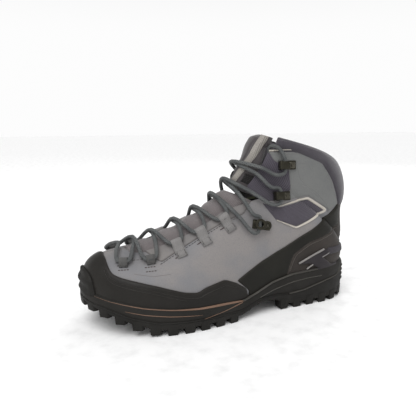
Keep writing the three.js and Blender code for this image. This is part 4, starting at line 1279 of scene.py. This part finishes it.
@dataclass
class Tongue:
    """The tongue: its gusseted lower part, its padded upper part and the tape on it."""

    width: tuple[Point, ...] = (
        (3, 0.1), (4, 0.26), (7, 0.3), (8.5, 0.3), (10.7, 0.36), (12, 0.33), (13.5, 0.25),
        (15, 0.205), (16, 0.18), (16.9, 0.155), (17.3, 0.175), (18, 0.165),
    )
    bend: float = 10.7
    strip: tuple[Point, ...] = ((11, -0.045), (14, -0.075), (17.5, -0.115))
    tape: float = 0.036  # half the tape's width in s
    puffs: tuple[float, ...] = (3.3, 4.75, 6.05, 7.3, 8.5, 9.5)
    puff_spread: float = 0.42
    puff_height: float = 3.0

    def half(self, u: np.ndarray) -> np.ndarray:
        """Half the tongue's width in s."""
        return along(self.width, u)

    def crown(self, u: np.ndarray, s: np.ndarray) -> np.ndarray:
        """Height of the padded part's crown, with the sewn channels along its tape."""
        channel = np.exp(-(((np.abs(s - along(self.strip, u)) - 0.052) / 0.010) ** 2))
        round_top = 1.4 + 4.2 * smoothstep(15.0, 16.8, u)
        return round_top * np.cos(np.clip(s / 0.24, -1, 1) * math.pi / 2) - 0.7 * channel

    def lower(self) -> None:
        """The soft lower part, which swells between the strands of the lace."""
        def swell(u: np.ndarray, s: np.ndarray) -> np.ndarray:
            """Height of the swells."""
            rise = sum(np.exp(-(((u - c) / self.puff_spread) ** 2)) for c in self.puffs)
            return self.puff_height * rise * (1 - smoothstep(0.12, 0.3, np.abs(s)))

        sheet = Sheet((3.3, self.bend - 0.5), lambda u: -self.half(u), self.half, -5.5, 3.9, 1.8, 1.5, 0.3)
        sheet.grid()
        sheet.thicken(puff=swell)
        sheet.finish("tongue_lower_cloth", TONGUE_CLOTH, nodes=("tongue_lower",), sharp=60)

    def upper(self) -> None:
        """The padded upper part, with its tape and its windows."""
        swell = self.crown
        sheet = Sheet((self.bend, 18), lambda u: -self.half(u), self.half, -8.0, 6.0, 1.3, 3.2, 0.25)
        sheet.grid()
        sheet.thicken(puff=swell)
        pad = sheet.finish("tongue_upper_pad", TONGUE_PAD, "tongue", ("tongue_upper",), sharp=70)
        sheet = Sheet((11.3, 17.85), lambda u: along(self.strip, u) - self.tape,
                      lambda u: along(self.strip, u) + self.tape, -1.0, 0.9, 1.0, 0.8, 0.5)
        sheet.grid()
        sheet.thicken(puff=swell)
        sheet.finish("tongue_tape", STRIP, "tongue", ("tongue_strip",))
        for name, low, high in (
            ("tongue_window_lateral", -0.235, -0.125), ("tongue_window_medial", 0.02, 0.2),
        ):
            sheet = Sheet((11.6, 13.2), lambda u, v=low: np.full(len(u), v),
                          lambda u, v=high: np.minimum(v, self.half(u) - 0.02), -1.4, 0.9, 1.1, 1.0, 0.4)
            sheet.grid()
            sheet.thicken(puff=swell)
            sheet.finish(name, TONGUE_DARK, "tongue")

    def build(self) -> None:
        """Makes the tongue."""
        self.lower()
        self.upper()


# ---------------------------------------------------------------- lacing


@dataclass(frozen=True)
class Guide:
    """A lace guide: its place on the form and the way that the lace takes through it."""

    name: str
    u: float
    s: float
    reach: float
    height: float
    way: Point | None = None
    before: tuple[Point, ...] | None = None
    after: tuple[Point, ...] | None = None

    def place(self, side: int) -> Place:
        """The guide's frame on one side."""
        return Place.on_form(self.u, side * self.s, self.way)


@dataclass
class Lacing:
    """The lace, its webbing loops, the ankle lock and the hooks."""

    diameter: float = 4.0
    under: float = 4.0
    strand: float = 5.4
    crossings: tuple[float, ...] = (2.45, 4.05, 5.4, 6.7, 7.85, 9.15, 10.9, 14.2)
    tucked: tuple[tuple, ...] = (
        (17.1, 0.25, 5), (16.95, 0.192, -3.9), (16, 0.255, -4.7), (15, 0.29, -4.9), (14, 0.32, -4.9),
    )
    guides: tuple[Guide, ...] = (
        Guide("toe_loop", 3.25, 0.41, 5, 4.8),
        Guide("vamp_loop", 4.65, 0.41, 5, 4.8),
        Guide("webbing_loop_1", 6.15, 0.31, 5, 4.8),
        Guide("webbing_loop_2", 7.25, 0.3, 5, 4.8),
        Guide("webbing_loop_3", 8.4, 0.31, 5, 4.8),
        Guide("ankle_lock", 9.15, 0.53, 7.25, 4.8, (0.2, 1), ((9.05, 0.2), (8.85, 0.38), (8.75, 0.57)),
              ((9.35, 0.44), (9.95, 0.26))),
        Guide("lower_hook", 11.95, 0.38, 7.25, 5.6, (0, 1), ((10.9, 0.14), (10.75, 0.28), (10.65, 0.42)),
              ((12.7, 0.31), (13.9, 0.21))),
        Guide("upper_hook", 16.25, 0.32, 7.25, 5.6, (0, 1), ((15, 0.21), (15.2, 0.3)), ()),
    )

    def half_route(self, start: int) -> list[np.ndarray]:
        """The lace's points from the middle of its first crossing to its tucked end."""
        over_height = self.under + self.diameter + 0.2
        points, side = [], start
        for k, guide in enumerate(self.guides):
            over = k > 0 and (start if k % 2 else -start) > 0
            next_over = (-start if k % 2 else start) > 0
            height = self.under + 1.5 if k == 0 else over_height if over else self.under
            points.append(FORM.spot(self.crossings[k], side * 1e-6, height))
            if guide.before:
                points += [FORM.spot(u, side * s, self.strand) for u, s in guide.before]
            elif not over:
                points.append(self.between(guide, self.crossings[k], -1, side))
            frame_here = guide.place(side)
            points += [frame_here.at(turn * guide.reach, 0, guide.height) for turn in (-1, 1)]
            if guide.after is not None:
                points += [FORM.spot(u, side * s, self.strand) for u, s in guide.after]
            elif not next_over:
                points.append(self.between(guide, self.crossings[k + 1], 1, side))
            side = -side
        side = -side
        return points + [FORM.spot(u, side * s, h) for u, s, h in self.tucked]

    def between(self, guide: Guide, crossing: float, turn: int, side: int) -> np.ndarray:
        """A point of the strand between a crossing and a loop."""
        u = crossing + (guide.u + 0.4 * turn - crossing) * 0.45
        return FORM.spot(u, side * guide.s * 0.55, self.under + 1.2)

    def route(self) -> np.ndarray:
        """The whole lace as a fine smooth line, in millimetres."""
        points = np.array([*self.half_route(-1)[::-1][:-1], *self.half_route(1)])
        out = []
        for i in range(len(points) - 1):
            p = [points[max(i - 1, 0)], points[i], points[i + 1], points[min(i + 2, len(points) - 1)]]
            knots = [0.0]
            for a, b in zip(p, p[1:]):
                knots.append(knots[-1] + max(np.linalg.norm(b - a), 1e-6) ** 0.5)
            for t in np.linspace(knots[1], knots[2], 6)[:-1]:
                out.append(self.blended(p, knots, t))
        out.append(points[-1])
        return np.array(out)

    @staticmethod
    def blended(p: Sequence[np.ndarray], knots: Sequence[float], t: float) -> np.ndarray:
        """A point of the smooth curve through four points, at one knot value."""
        row = list(p)
        for pairs in (((0, 1), (1, 2), (2, 3)), ((0, 2), (1, 3)), ((1, 2),)):
            made = []
            for i, (first, last) in enumerate(pairs):
                low, high = knots[first], knots[last]
                span = max(high - low, 1e-9)
                made.append(row[i] * (high - t) / span + row[i + 1] * (t - low) / span)
            row = made
        return row[0]

    def lace(self) -> None:
        """The braided lace."""
        line = self.route()
        curve = bpy.data.curves.new("lace_line", "CURVE")
        curve.dimensions = "3D"
        curve.bevel_depth = self.diameter / 2 * MM
        curve.bevel_resolution = 3
        curve.use_fill_caps = True
        spline = curve.splines.new("POLY")
        spline.points.add(len(line) - 1)
        for knot, point in zip(spline.points, line * MM):
            knot.co = (*point, 1)
        drawn = bpy.data.objects.new("lace_line", curve)
        bpy.context.scene.collection.objects.link(drawn)
        bpy.context.view_layer.update()
        mesh = bpy.data.meshes.new_from_object(drawn.evaluated_get(bpy.context.evaluated_depsgraph_get()))
        bpy.data.objects.remove(drawn)
        length = np.linalg.norm(np.diff(line, axis=0), axis=1).sum()
        bm = bmesh.new()
        bm.from_mesh(mesh)
        bpy.data.meshes.remove(mesh)
        layer = bm.loops.layers.uv.verify()
        for face in bm.faces:
            for loop in face.loops:
                u, v = loop[layer].uv
                loop[layer].uv = (u * length * MM, v * math.pi * self.diameter * MM)
        bmesh.ops.recalc_face_normals(bm, faces=bm.faces[:])
        LOG.info("lace: %.0f mm long", length)
        linked("braided_lace", bm, LACE, "boot", ("lace",), 80)

    def loop(self, guide: Guide, side: Side) -> None:
        """A folded webbing that holds the lace."""
        small = guide.name in ("toe_loop", "vamp_loop")
        width, tail = (8.0, 4.6) if small else (10.5, 16.0)
        place = guide.place(side.value)
        lift, radius = guide.height - 0.3, 2.8
        turns = np.linspace(math.radians(-60), math.radians(-325), 14)
        path = [(tail, 0.0), (3.4, 0.5), (2.4, 0.9)]
        path += [(radius * math.cos(a), lift + radius * math.sin(a)) for a in turns]
        path += [(3.4, 3.4), (tail, 0.9)] if small else [(4.6, 3.6), (6.8, 1.9), (9.0, 1.3), (tail, 1.0)]
        bm = bmesh.new()
        bmesh.ops.create_grid(bm, x_segments=len(path) - 1, y_segments=3, size=1)
        layer = bm.loops.layers.uv.verify()
        run = np.concatenate([[0], np.cumsum(np.linalg.norm(np.diff(np.array(path), axis=0), axis=1))])
        local = {}
        for vert in bm.verts:
            index = round((vert.co.x + 1) / 2 * (len(path) - 1))
            along_up = vert.co.y * width / 2
            down, out = path[index]
            local[vert] = (run[index] * MM, along_up * MM)
            vert.co = place.at(along_up, down, self.sunk(down, along_up, out)) * MM
        for face in bm.faces:
            for corner in face.loops:
                corner[layer].uv = local[corner.vert]
        bmesh.ops.recalc_face_normals(bm, faces=bm.faces[:])
        name = f"{guide.name}_strap_{side.label}"
        cloth = DARK_WEBBING if small else WEBBING
        strap = linked(name, bm, cloth, "boot", (f"{guide.name}_{side.label}",), 50)
        wall = strap.modifiers.new("webbing", "SOLIDIFY")
        wall.thickness = 1.1 * MM
        wall.offset = 0
        if not small:
            rows = [[(9.5, a), (tail - 1, a)] for a in (-width / 2 + 1.2, width / 2 - 1.2)]
            rows += [[(9.5, -width / 2 + 1.2), (9.5, width / 2 - 1.2)]]
            self.box_stitch(f"{guide.name}_stitches_{side.label}", place, rows)

    @staticmethod
    def sunk(down: float, up: float, out: float) -> float:
        """A height over a place's plane, lowered to where the form curves away under it."""
        return out - 0.006 * max(down - 2, 0) ** 2 - 0.002 * up * up

    def box_stitch(self, name: str, place: Place, rows: Sequence[Sequence[Point]]) -> None:
        """Fine stitches on a strap, in the place's own down and up."""
        bm = bmesh.new()
        bead = Bead(0.5, 0.3, 0.3)
        for (d0, u0), (d1, u1) in rows:
            count = max(int(math.hypot(d1 - d0, u1 - u0) / 2.2), 1)
            for i in range(count):
                ends = [(i + f) / count for f in (0.1, 0.45, 0.8)]
                points = []
                for t in ends:
                    down, up = d0 + (d1 - d0) * t, u0 + (u1 - u0) * t
                    points.append(place.at(up, down, self.sunk(down, up, 1.6)))
                bead.add(bm, np.array(points), np.repeat(place.out[None], 3, 0))
        bmesh.ops.recalc_face_normals(bm, faces=bm.faces[:])
        linked(name, bm, GREY_THREAD, "boot", sharp=60)

    def rivet(self, name: str, node: str, place: Place, down: float, base: float, square: bool) -> None:
        """A rivet with a bossed head."""
        bm = bmesh.new()
        if square:
            block((7.2, 7.2, 2.2), (down, 0, base + 1.1), place, bm, 0.7, 0.86)
            block((3.6, 3.6, 1.0), (down, 0, base + 2.6), place, bm, 0.4, 0.8)
        else:
            block((6.4, 6.4, 2.0), (down, 0, base + 1.0), place, bm, 0.9, 0.8)
            block((3.2, 3.2, 1.2), (down, 0, base + 2.4), place, bm, 0.4, 0.7)
        outward(bm, 0.001)
        linked(name, bm, RIVET, "boot", (node,), 45)

    def hook(self, guide: Guide, side: Side) -> None:
        """An open hook on its plate."""
        place = guide.place(side.value)
        bm = bmesh.new()
        block((19, 9.4, 1.3), (3.5, 0, 1.9), place, bm, 0.5)
        block((1.9, 8.8, 7.6), (-5.2, 0, 5.6), place, bm, 0.6)
        block((10.6, 8.8, 1.9), (-0.9, 0, 9.0), place, bm, 0.7, 0.92)
        block((3.2, 9.4, 2.2), (-4.4, 0, 9.6), place, bm, 0.7, 0.8)
        outward(bm, 0.001)
        linked(f"{guide.name}_plate_{side.label}", bm, HOOK, "boot", (f"{guide.name}_{side.label}",), 45)
        self.rivet(f"{guide.name}_boss_{side.label}", f"{guide.name}_rivet_{side.label}", place,
                   8.6, 2.3, True)

    def lock(self, guide: Guide, side: Side) -> None:
        """The ankle lock: a plate with an eye over the lace and its rivet."""
        place = guide.place(side.value)
        bm = bmesh.new()
        block((20, 9.4, 1.3), (4.2, 0, 1.0), place, bm, 0.5)
        for radius, centre, lift in ((5.6, 0.0, 8.4), (5.0, 9.2, 3.2)):
            made = bmesh.ops.create_circle(bm, cap_ends=False, segments=28, radius=radius * MM)
            inner = bmesh.ops.create_circle(bm, cap_ends=False, segments=28, radius=(radius - 2.5) * MM)
            edges = [e for v in (*made["verts"], *inner["verts"]) for e in v.link_edges]
            face = bmesh.ops.bridge_loops(bm, edges=list(set(edges)))
            grown = bmesh.ops.extrude_face_region(bm, geom=face["faces"])
            raised = [g for g in grown["geom"] if isinstance(g, bmesh.types.BMVert)]
            bmesh.ops.translate(bm, verts=raised, vec=(0, 0, 1.6 * MM))
            verts = [*made["verts"], *inner["verts"], *raised]
            bmesh.ops.translate(bm, verts=verts, vec=(centre * MM, 0, lift * MM))
            bmesh.ops.transform(bm, matrix=place.matrix(), verts=verts)
        block((2.2, 7.4, 7.0), (5.2, 0, 5.6), place, bm, 0.6)
        outward(bm, 0.001)
        linked(f"{guide.name}_eye_{side.label}", bm, HOOK, "boot", (f"{guide.name}_{side.label}",), 45, 0.35)
        self.rivet(f"{guide.name}_boss_{side.label}", f"{guide.name}_rivet_{side.label}", place,
                   9.2, 2.4, False)

    def build(self) -> None:
        """Makes the lacing."""
        self.lace()
        for side in Side:
            for guide in self.guides[:5]:
                self.loop(guide, side)
            self.lock(self.guides[5], side)
            for guide in self.guides[6:]:
                self.hook(guide, side)


# ---------------------------------------------------------------- sole


@dataclass
class Sole:
    """The midsole with its pinstripes, the outsole with its lugs, and the bumper."""

    count: int = 110
    tread_top: tuple[Point, ...] = (
        (-150, 33), (-130, 26), (-112, 19), (-88, 13), (-35, 11), (0, 11), (8, 12.5), (25, 18), (45, 18),
        (60, 16.5), (80, 18), (110, 25), (128, 27), (138, 33), (145, 39), (150, 40),
    )
    tread_bottom: tuple[Point, ...] = (
        (-150, 29), (-130, 21), (-112, 13.5), (-88, 6), (-70, 5), (0, 5), (8, 7), (25, 13.5), (45, 12.5),
        (55, 6), (62, 5), (132, 5), (144, 9), (150, 15),
    )
    ridge: tuple[Point, ...] = (
        (-150, 41), (-128, 35.2), (-100, 29.5), (-78, 26.5), (-47, 23.5), (-16, 22.5), (5, 21), (20, 25.5),
        (40, 33), (66, 38), (85, 39), (110, 40), (150, 43),
    )
    lug_depth: float = 5.0

    def wall(self, share: float, inset: float, rise: float = 0.0) -> np.ndarray:
        """A ring of the midsole's wall, at a share of the way from the tread to the ridge."""
        def height(x: np.ndarray) -> np.ndarray:
            """Z over x."""
            low, high = along(self.tread_top, x) - 1.0, along(self.ridge, x)
            return low + (high - low) * share + rise
        return SOLE.ring(self.count, inset, height)

    def midsole(self) -> None:
        """The midsole's body."""
        profile = ((0.0, 3.0), (0.03, 1.2), (0.12, 0.5), (0.35, -0.2), (0.6, 0.1), (0.8, 0.8), (0.92, 1.4),
                   (0.98, 2.2), (1.0, 3.2))
        rings = [self.wall(share, inset) for share, inset in profile]
        rings.append(self.wall(1.0, 7.5, -0.6))
        linked("midsole_wall", loft(rings), MIDSOLE, "boot", ("midsole",), 55)

    def around(self, name: str, finish: Finish, bead: Bead, x_range: Point, height: Curve, inset: float,
               side: Side, width: Curve | None = None) -> None:
        """A bead along the sole's side between two x.

        Args:
            name: the piece's name.
            finish: its finish.
            bead: its section.
            x_range: where it starts and ends.
            height: z over x.
            inset: distance inside the outline.
            side: the side it lies on.
            width: the bead's width over x.
        """
        t = SOLE.stations(220, side.value)
        p = SOLE.side(t, side.value, np.full(len(t), inset))
        keep = (p[:, 0] >= x_range[0]) & (p[:, 0] <= x_range[1])
        p = p[keep]
        line = np.column_stack([p, height(p[:, 0])])
        way = np.gradient(line, axis=0)
        outs = np.cross(way, (0, 0, 1.0)) * side.value * -1
        outs /= np.linalg.norm(outs, axis=1)[:, None]
        if outs[len(outs) // 2, 1] * side.value < 0:
            outs = -outs
        bm = bmesh.new()
        bead.add(bm, line, outs, None if width is None else width(line[:, 0]))
        bmesh.ops.recalc_face_normals(bm, faces=bm.faces[:])
        linked(name, bm, finish, "boot", sharp=60)

    def trims(self, side: Side) -> None:
        """The pinstripes and ridges of one side."""
        name = side.label

        def under(drop: float) -> Callable[[np.ndarray], np.ndarray]:
            """A line this far under the wing's top."""
            return lambda x: along(self.ridge, x) - drop

        def tapered(at: Sequence[float], values: Sequence[float]) -> Callable[[np.ndarray], np.ndarray]:
            """Values that change from place to place along x."""
            return lambda x: np.interp(x, at, values)

        for label, finish, bead, span, height, lift, width in (
            ("pinstripe_upper_", PINSTRIPE, Bead(1.0, 0.7, 0.6), (-141, 6), under(1.2), 1.6,
             tapered((-141, -110, -70, -25, 0, 6), (0.5, 0.9, 1.2, 3.0, 2.0, 0.5))),
            ("pinstripe_lower_", PINSTRIPE, Bead(0.8, 0.5, 0.5), (-118, -44), under(7.0), 0.1,
             tapered((-118, -100, -60, -44), (0.3, 0.9, 0.8, 0.3))),
            ("pinstripe_cross_", PINSTRIPE, Bead(0.8, 0.5, 0.5), (-46, 2),
             tapered((-46, -20, 2), (11.5, 15.5, 19.5)), 0.1,
             tapered((-46, -30, -5, 2), (0.2, 0.7, 0.9, 0.3))),
            ("wing_ridge_", RIDGE, Bead(1.8, 1.0, 0.8), (2, 100), under(0.6), 1.6, None),
            ("wing_rib_", RIDGE, Bead(1.2, 0.7, 0.7), (22, 104),
             tapered((22, 40, 66, 84, 104), (19.5, 24.5, 29.5, 31, 31.5)), 0.1, None),
            ("heel_rubber_edge_", RIDGE, Bead(1.3, 0.9, 0.8), (60, 149),
             lambda x: along(self.tread_top, x) + 0.2, 0.2, None),
        ):
            self.around(label + name, finish, bead, span, height, lift, side, width)
        self.around("outsole_edge_" + name, SOLE_RUBBER, Bead(1.8, 0.9, 0.8), (-138, 60),
                    lambda x: along(self.tread_top, x) + 0.1, 0.3, side)

    def outsole(self) -> None:
        """The rubber tread: its plate and its lugs."""
        top, bottom = (lambda x: along(self.tread_top, x)), (lambda x: along(self.tread_bottom, x))
        middle = lambda x: (top(x) + bottom(x)) / 2
        rings = [SOLE.ring(self.count, inset, height) for inset, height in (
            (9.0, bottom), (1.6, bottom), (0.4, lambda x: bottom(x) + 1.0), (-0.3, middle),
            (-0.3, lambda x: top(x) - 0.8), (0.6, top), (6.0, top),
        )]
        bm = loft(rings)
        for side in Side:
            self.edge_lugs(bm, side)
        self.centre_lugs(bm)
        bmesh.ops.recalc_face_normals(bm, faces=bm.faces[:])
        linked("outsole_tread", bm, SOLE_RUBBER, "boot", ("outsole",), 35)

    def lug(self, bm: bmesh.types.BMesh, corners: Sequence[Point], z: float, top: float) -> None:
        """A lug over a plan outline, narrower at the ground, its edges bevelled."""
        plan = np.array(corners, float)
        centre = plan.mean(0)
        verts = [bm.verts.new((*(p * MM), top * MM)) for p in plan]
        face = bm.faces.new(verts)
        grown = bmesh.ops.extrude_face_region(bm, geom=[face])
        foot = [g for g in grown["geom"] if isinstance(g, bmesh.types.BMVert)]
        for vert in foot:
            flat = np.array(vert.co[:2]) / MM
            flat = centre + (flat - centre) * 0.9
            vert.co = (flat[0] * MM, flat[1] * MM, z * MM)
        edges = list({e for v in foot for e in v.link_edges})
        bmesh.ops.bevel(bm, geom=edges, offset=0.7 * MM, segments=2, profile=0.5, affect="EDGES", material=-1)

    def edge_lugs(self, bm: bmesh.types.BMesh, side: Side) -> None:
        """The lugs along one side of the outsole."""
        sign = side.value
        t = SOLE.stations(400, sign)
        outer = SOLE.side(t, sign, np.full(len(t), -0.4))
        run = np.concatenate([[0], np.cumsum(np.linalg.norm(np.diff(outer, axis=0), axis=1))])
        at = 7.0
        while at < run[-1] - 4:
            x = float(np.interp(at, run, outer[:, 0]))
            if 8 < x < 54:
                at += 3.0
                continue
            length, depth = 12.5, 15.0
            corners = []
            for a, inset in ((at - length / 2, -0.5), (at + length * 0.3, -0.5), (at + length / 2, 3.0),
                             (at + length * 0.36, depth), (at - length * 0.42, depth - 3)):
                station = np.interp([a], run, t)
                corners.append(tuple(SOLE.side(station, sign, np.array([inset]))[0]))
            low = float(along(self.tread_bottom, np.array(x))) - self.lug_depth
            high = min(float(along(self.tread_top, np.array(x))), low + 12)
            self.lug(bm, corners if sign < 0 else corners[::-1], low, high - 1.0)
            at += length + 4.2

    def centre_lugs(self, bm: bmesh.types.BMesh) -> None:
        """The chevrons down the middle of the tread."""
        for x in (-122, -104, -86, -68, -50, -32, -14, 64, 82, 100, 118):
            ends = [SOLE.side(np.interp([x], SOLE.side(SOLE.stations(300, k), k, np.zeros(1))[:, 0],
                                        SOLE.stations(300, k)), k, np.zeros(1))[0, 1] for k in (-1, 1)]
            centre, half = (ends[0] + ends[1]) / 2, (ends[1] - ends[0]) / 2 - 19
            if half < 4:
                continue
            low = float(along(self.tread_bottom, np.array(float(x)))) - self.lug_depth
            for way in (-1, 1):
                inner, outer = centre + way * 1.5, centre + way * half
                corners = [(x - 5, inner), (x + 4, inner), (x + 9, outer), (x + 1, outer)]
                self.lug(bm, corners[::-1 if way > 0 else 1], low, low + 7)

    def bumper(self) -> None:
        """The ribbed rubber that the outsole turns up over the toe, and the heel's ribs."""
        outline = [(-175, 22), (-137.5, 22), (-139, 40), (-141, 54), (-144.5, 60), (-175, 60)]
        sheet = Sheet((0, 4.5), lambda u: -np.ones(len(u)), lambda u: np.ones(len(u)), 1.8, 3.6, 1.6, 2.2)
        sheet.grid()
        bmesh.ops.remove_doubles(sheet.bm, verts=sheet.bm.verts[:], dist=0.03 * MM)
        shape = rounded(outline, 4)
        sheet.trim(shape)

        def ribs(u: np.ndarray, s: np.ndarray) -> np.ndarray:
            """Height of the bumper's ribs."""
            z = FORM.surface(u, s)[:, 2]
            return 1.1 * np.cos((z - 30) / 9.5 * 2 * math.pi)

        sheet.thicken(shape, ribs)
        sheet.finish("toe_bumper", SOLE_RUBBER)
        for side in Side:
            for index, z in enumerate((20.0, 25.0, 30.0, 35.0)):
                self.around(f"heel_rib_{index}_{side.label}", SOLE_RUBBER, Bead(2.6, 1.4, 1.0),
                            (136 + index, 151), lambda x, z=z: np.full(len(x), z), 0.0, side)

    def build(self) -> None:
        """Makes the sole."""
        self.midsole()
        self.outsole()
        for side in Side:
            self.trims(side)
        self.bumper()


@dataclass
class HeelCage:
    """The heel cage with its light bevels, the strap behind it and the pull loop."""

    outline: tuple[Point, ...] = (
        (72, 48), (104, 61.5), (112.5, 60), (112.5, 54), (104, 52.5), (118, 42), (152, 41), (175, 41),
        (175, 28), (60, 28), (62, 37.5), (84, 39.5), (100, 40), (88, 46.5),
    )
    bevels: tuple[tuple[Point, ...], ...] = (
        ((73.5, 48.6), (104.5, 61.8)), ((84, 41), (92, 45.4)), ((103, 53), (111.5, 56.6)),
    )

    def build(self) -> None:
        """Makes the cage and what it holds."""
        for side in Side:
            name = side.label
            nodes = ("heel_cage",) if side is Side.LATERAL else ()
            panel("heel_cage_arm_" + name, CAGE, self.outline, side, 1.2, 2.3, (8.6, 18), (0.4, 1.0),
                  1.5, nodes, 1.5)
            for index, points in enumerate(self.bevels):
                bead = Bead(1.3 if index else 2.0, 0.8, 0.8)
                bead.line(f"cage_bevel_{index}_{name}", BEVEL, side, points, 3.2, 1.5)
            strap = [(110.5, 54.2), (175, 53.2), (175, 61.6), (110.5, 62)]
            nodes = ("heel_strap",) if side is Side.LATERAL else ()
            panel("heel_strap_webbing_" + name, STRAP, strap, side, 1.2, 1.4, (9.5, 18), (0.4, 1.0),
                  1.0, nodes, 1.5)
        low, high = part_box("heel_pull_loop")
        bm = bmesh.new()
        middle = (low + high) / 2
        axes = (np.array(axis) for axis in ((0, 1.0, 0), (0, 0, -1.0), (1.0, 0, 0)))
        place = Place(np.array(middle) / MM, *axes)
        size = (high - low) / MM
        block((size.z, size.y, size.x), (0, 0, 0), place, bm, 0.6)
        block((size.z * 0.35, size.y * 0.9, 1.2), (size.z * 0.3, 0, size.x / 2 + 0.2), place, bm, 0.4)
        outward(bm, 0.001)
        layer = bm.loops.layers.uv.verify()
        for face in bm.faces:
            for loop in face.loops:
                loop[layer].uv = (loop.vert.co.y, loop.vert.co.z)
        linked("pull_loop_webbing", bm, PULL, "pull_loop", ("heel_pull_loop",), 45)


@dataclass
class Inside:
    """The pieces that the boot holds inside, which keep their CAD shape."""

    finishes: tuple[tuple[str, Finish], ...] = (
        ("footbed", FOOTBED), ("lasting_board", BOARD), ("toe_puff", RESIN), ("heel_counter", RESIN),
        ("ankle_foam", FOAM), ("shank", NYLON),
    )

    def build(self) -> None:
        """Gives each piece its finish."""
        for node, finish in self.finishes:
            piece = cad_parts[node]
            piece.data.materials.clear()
            piece.data.materials.append(finish.make())


@dataclass
class Studio:
    """The floor, the lights and the camera."""

    turn: float = math.radians(24)
    pitch: float = 0.181
    eye: tuple[float, float, float] = (-0.2054, -0.4613, 0.201)
    lens: float = 41.5
    shift: float = -0.0346

    def camera(self) -> None:
        """The camera, level with the laces on the lateral side of the toe."""
        data = bpy.data.cameras.new("camera")
        data.lens = self.lens
        data.sensor_width = 36
        data.shift_x = self.shift
        data.clip_start = 0.01
        camera = bpy.data.objects.new("camera", data)
        camera.location = self.eye
        camera.rotation_euler = (math.pi / 2 - self.pitch, 0, -self.turn)
        bpy.context.scene.collection.objects.link(camera)
        bpy.context.scene.camera = camera

    def light(self, name: str, place: tuple, power: float, size: float) -> None:
        """A soft area light that looks at the boot."""
        data = bpy.data.lights.new(name, "AREA")
        data.energy = power
        data.size = size
        lamp = bpy.data.objects.new(name, data)
        lamp.location = place
        lamp.rotation_euler = (Vector((0, 0, 0.08)) - Vector(place)).to_track_quat("-Z", "Y").to_euler()
        bpy.context.scene.collection.objects.link(lamp)

    def sun(self) -> None:
        """A very soft even light from the upper left, which keeps the whole floor pale."""
        data = bpy.data.lights.new("overhead_softbox", "SUN")
        data.energy = 1.5
        data.angle = math.radians(50)
        lamp = bpy.data.objects.new("overhead_softbox", data)
        lamp.rotation_euler = Vector((0.35, 0.45, -1.0)).to_track_quat("-Z", "Y").to_euler()
        bpy.context.scene.collection.objects.link(lamp)

    def dome(self) -> None:
        """A white surround, brightest at the horizon."""
        world = bpy.data.worlds.new("studio")
        bpy.context.scene.world = world
        world.use_nodes = True
        tree = world.node_tree
        sky = tree.nodes["Background"]
        sky.inputs["Color"].default_value = (1, 1, 1, 1)
        where = tree.nodes.new("ShaderNodeTexCoord")
        parts = tree.nodes.new("ShaderNodeSeparateXYZ")
        fade = tree.nodes.new("ShaderNodeMapRange")
        fade.interpolation_type = "SMOOTHSTEP"
        for label, number in (("From Min", 0.15), ("From Max", 0.6), ("To Min", 0.98), ("To Max", 0.55)):
            fade.inputs[label].default_value = number
        tree.links.new(where.outputs["Generated"], parts.inputs[0])
        tree.links.new(parts.outputs["Z"], fade.inputs["Value"])
        tree.links.new(fade.outputs["Result"], sky.inputs["Strength"])

    def build(self) -> None:
        """Makes the studio."""
        self.camera()
        bm = bmesh.new()
        bmesh.ops.create_grid(bm, x_segments=1, y_segments=1, size=6)
        mesh = bpy.data.meshes.new("floor")
        bm.to_mesh(mesh)
        bm.free()
        mesh.materials.append(FLOOR.make())
        floor = bpy.data.objects.new("floor", mesh)
        bpy.context.scene.collection.objects.link(floor)
        self.light("key_light", (-0.7, -0.9, 1.2), 4.5, 0.9)
        self.light("rim_light", (0.9, 0.9, 1.0), 5, 0.8)
        self.sun()
        self.dome()
        bpy.context.scene.view_settings.view_transform = "Standard"


def main() -> None:
    """Builds the boot's looks, one sub-assembly at a time."""
    logging.basicConfig(level=logging.INFO, format="%(message)s", stream=sys.stdout)
    for assembly in (Studio(), Lacing(), Upper(), Rand(), Collar(), Tongue(), Sole(), HeelCage(), Inside()):
        assembly.build()


if __name__ == "__main__":
    main()
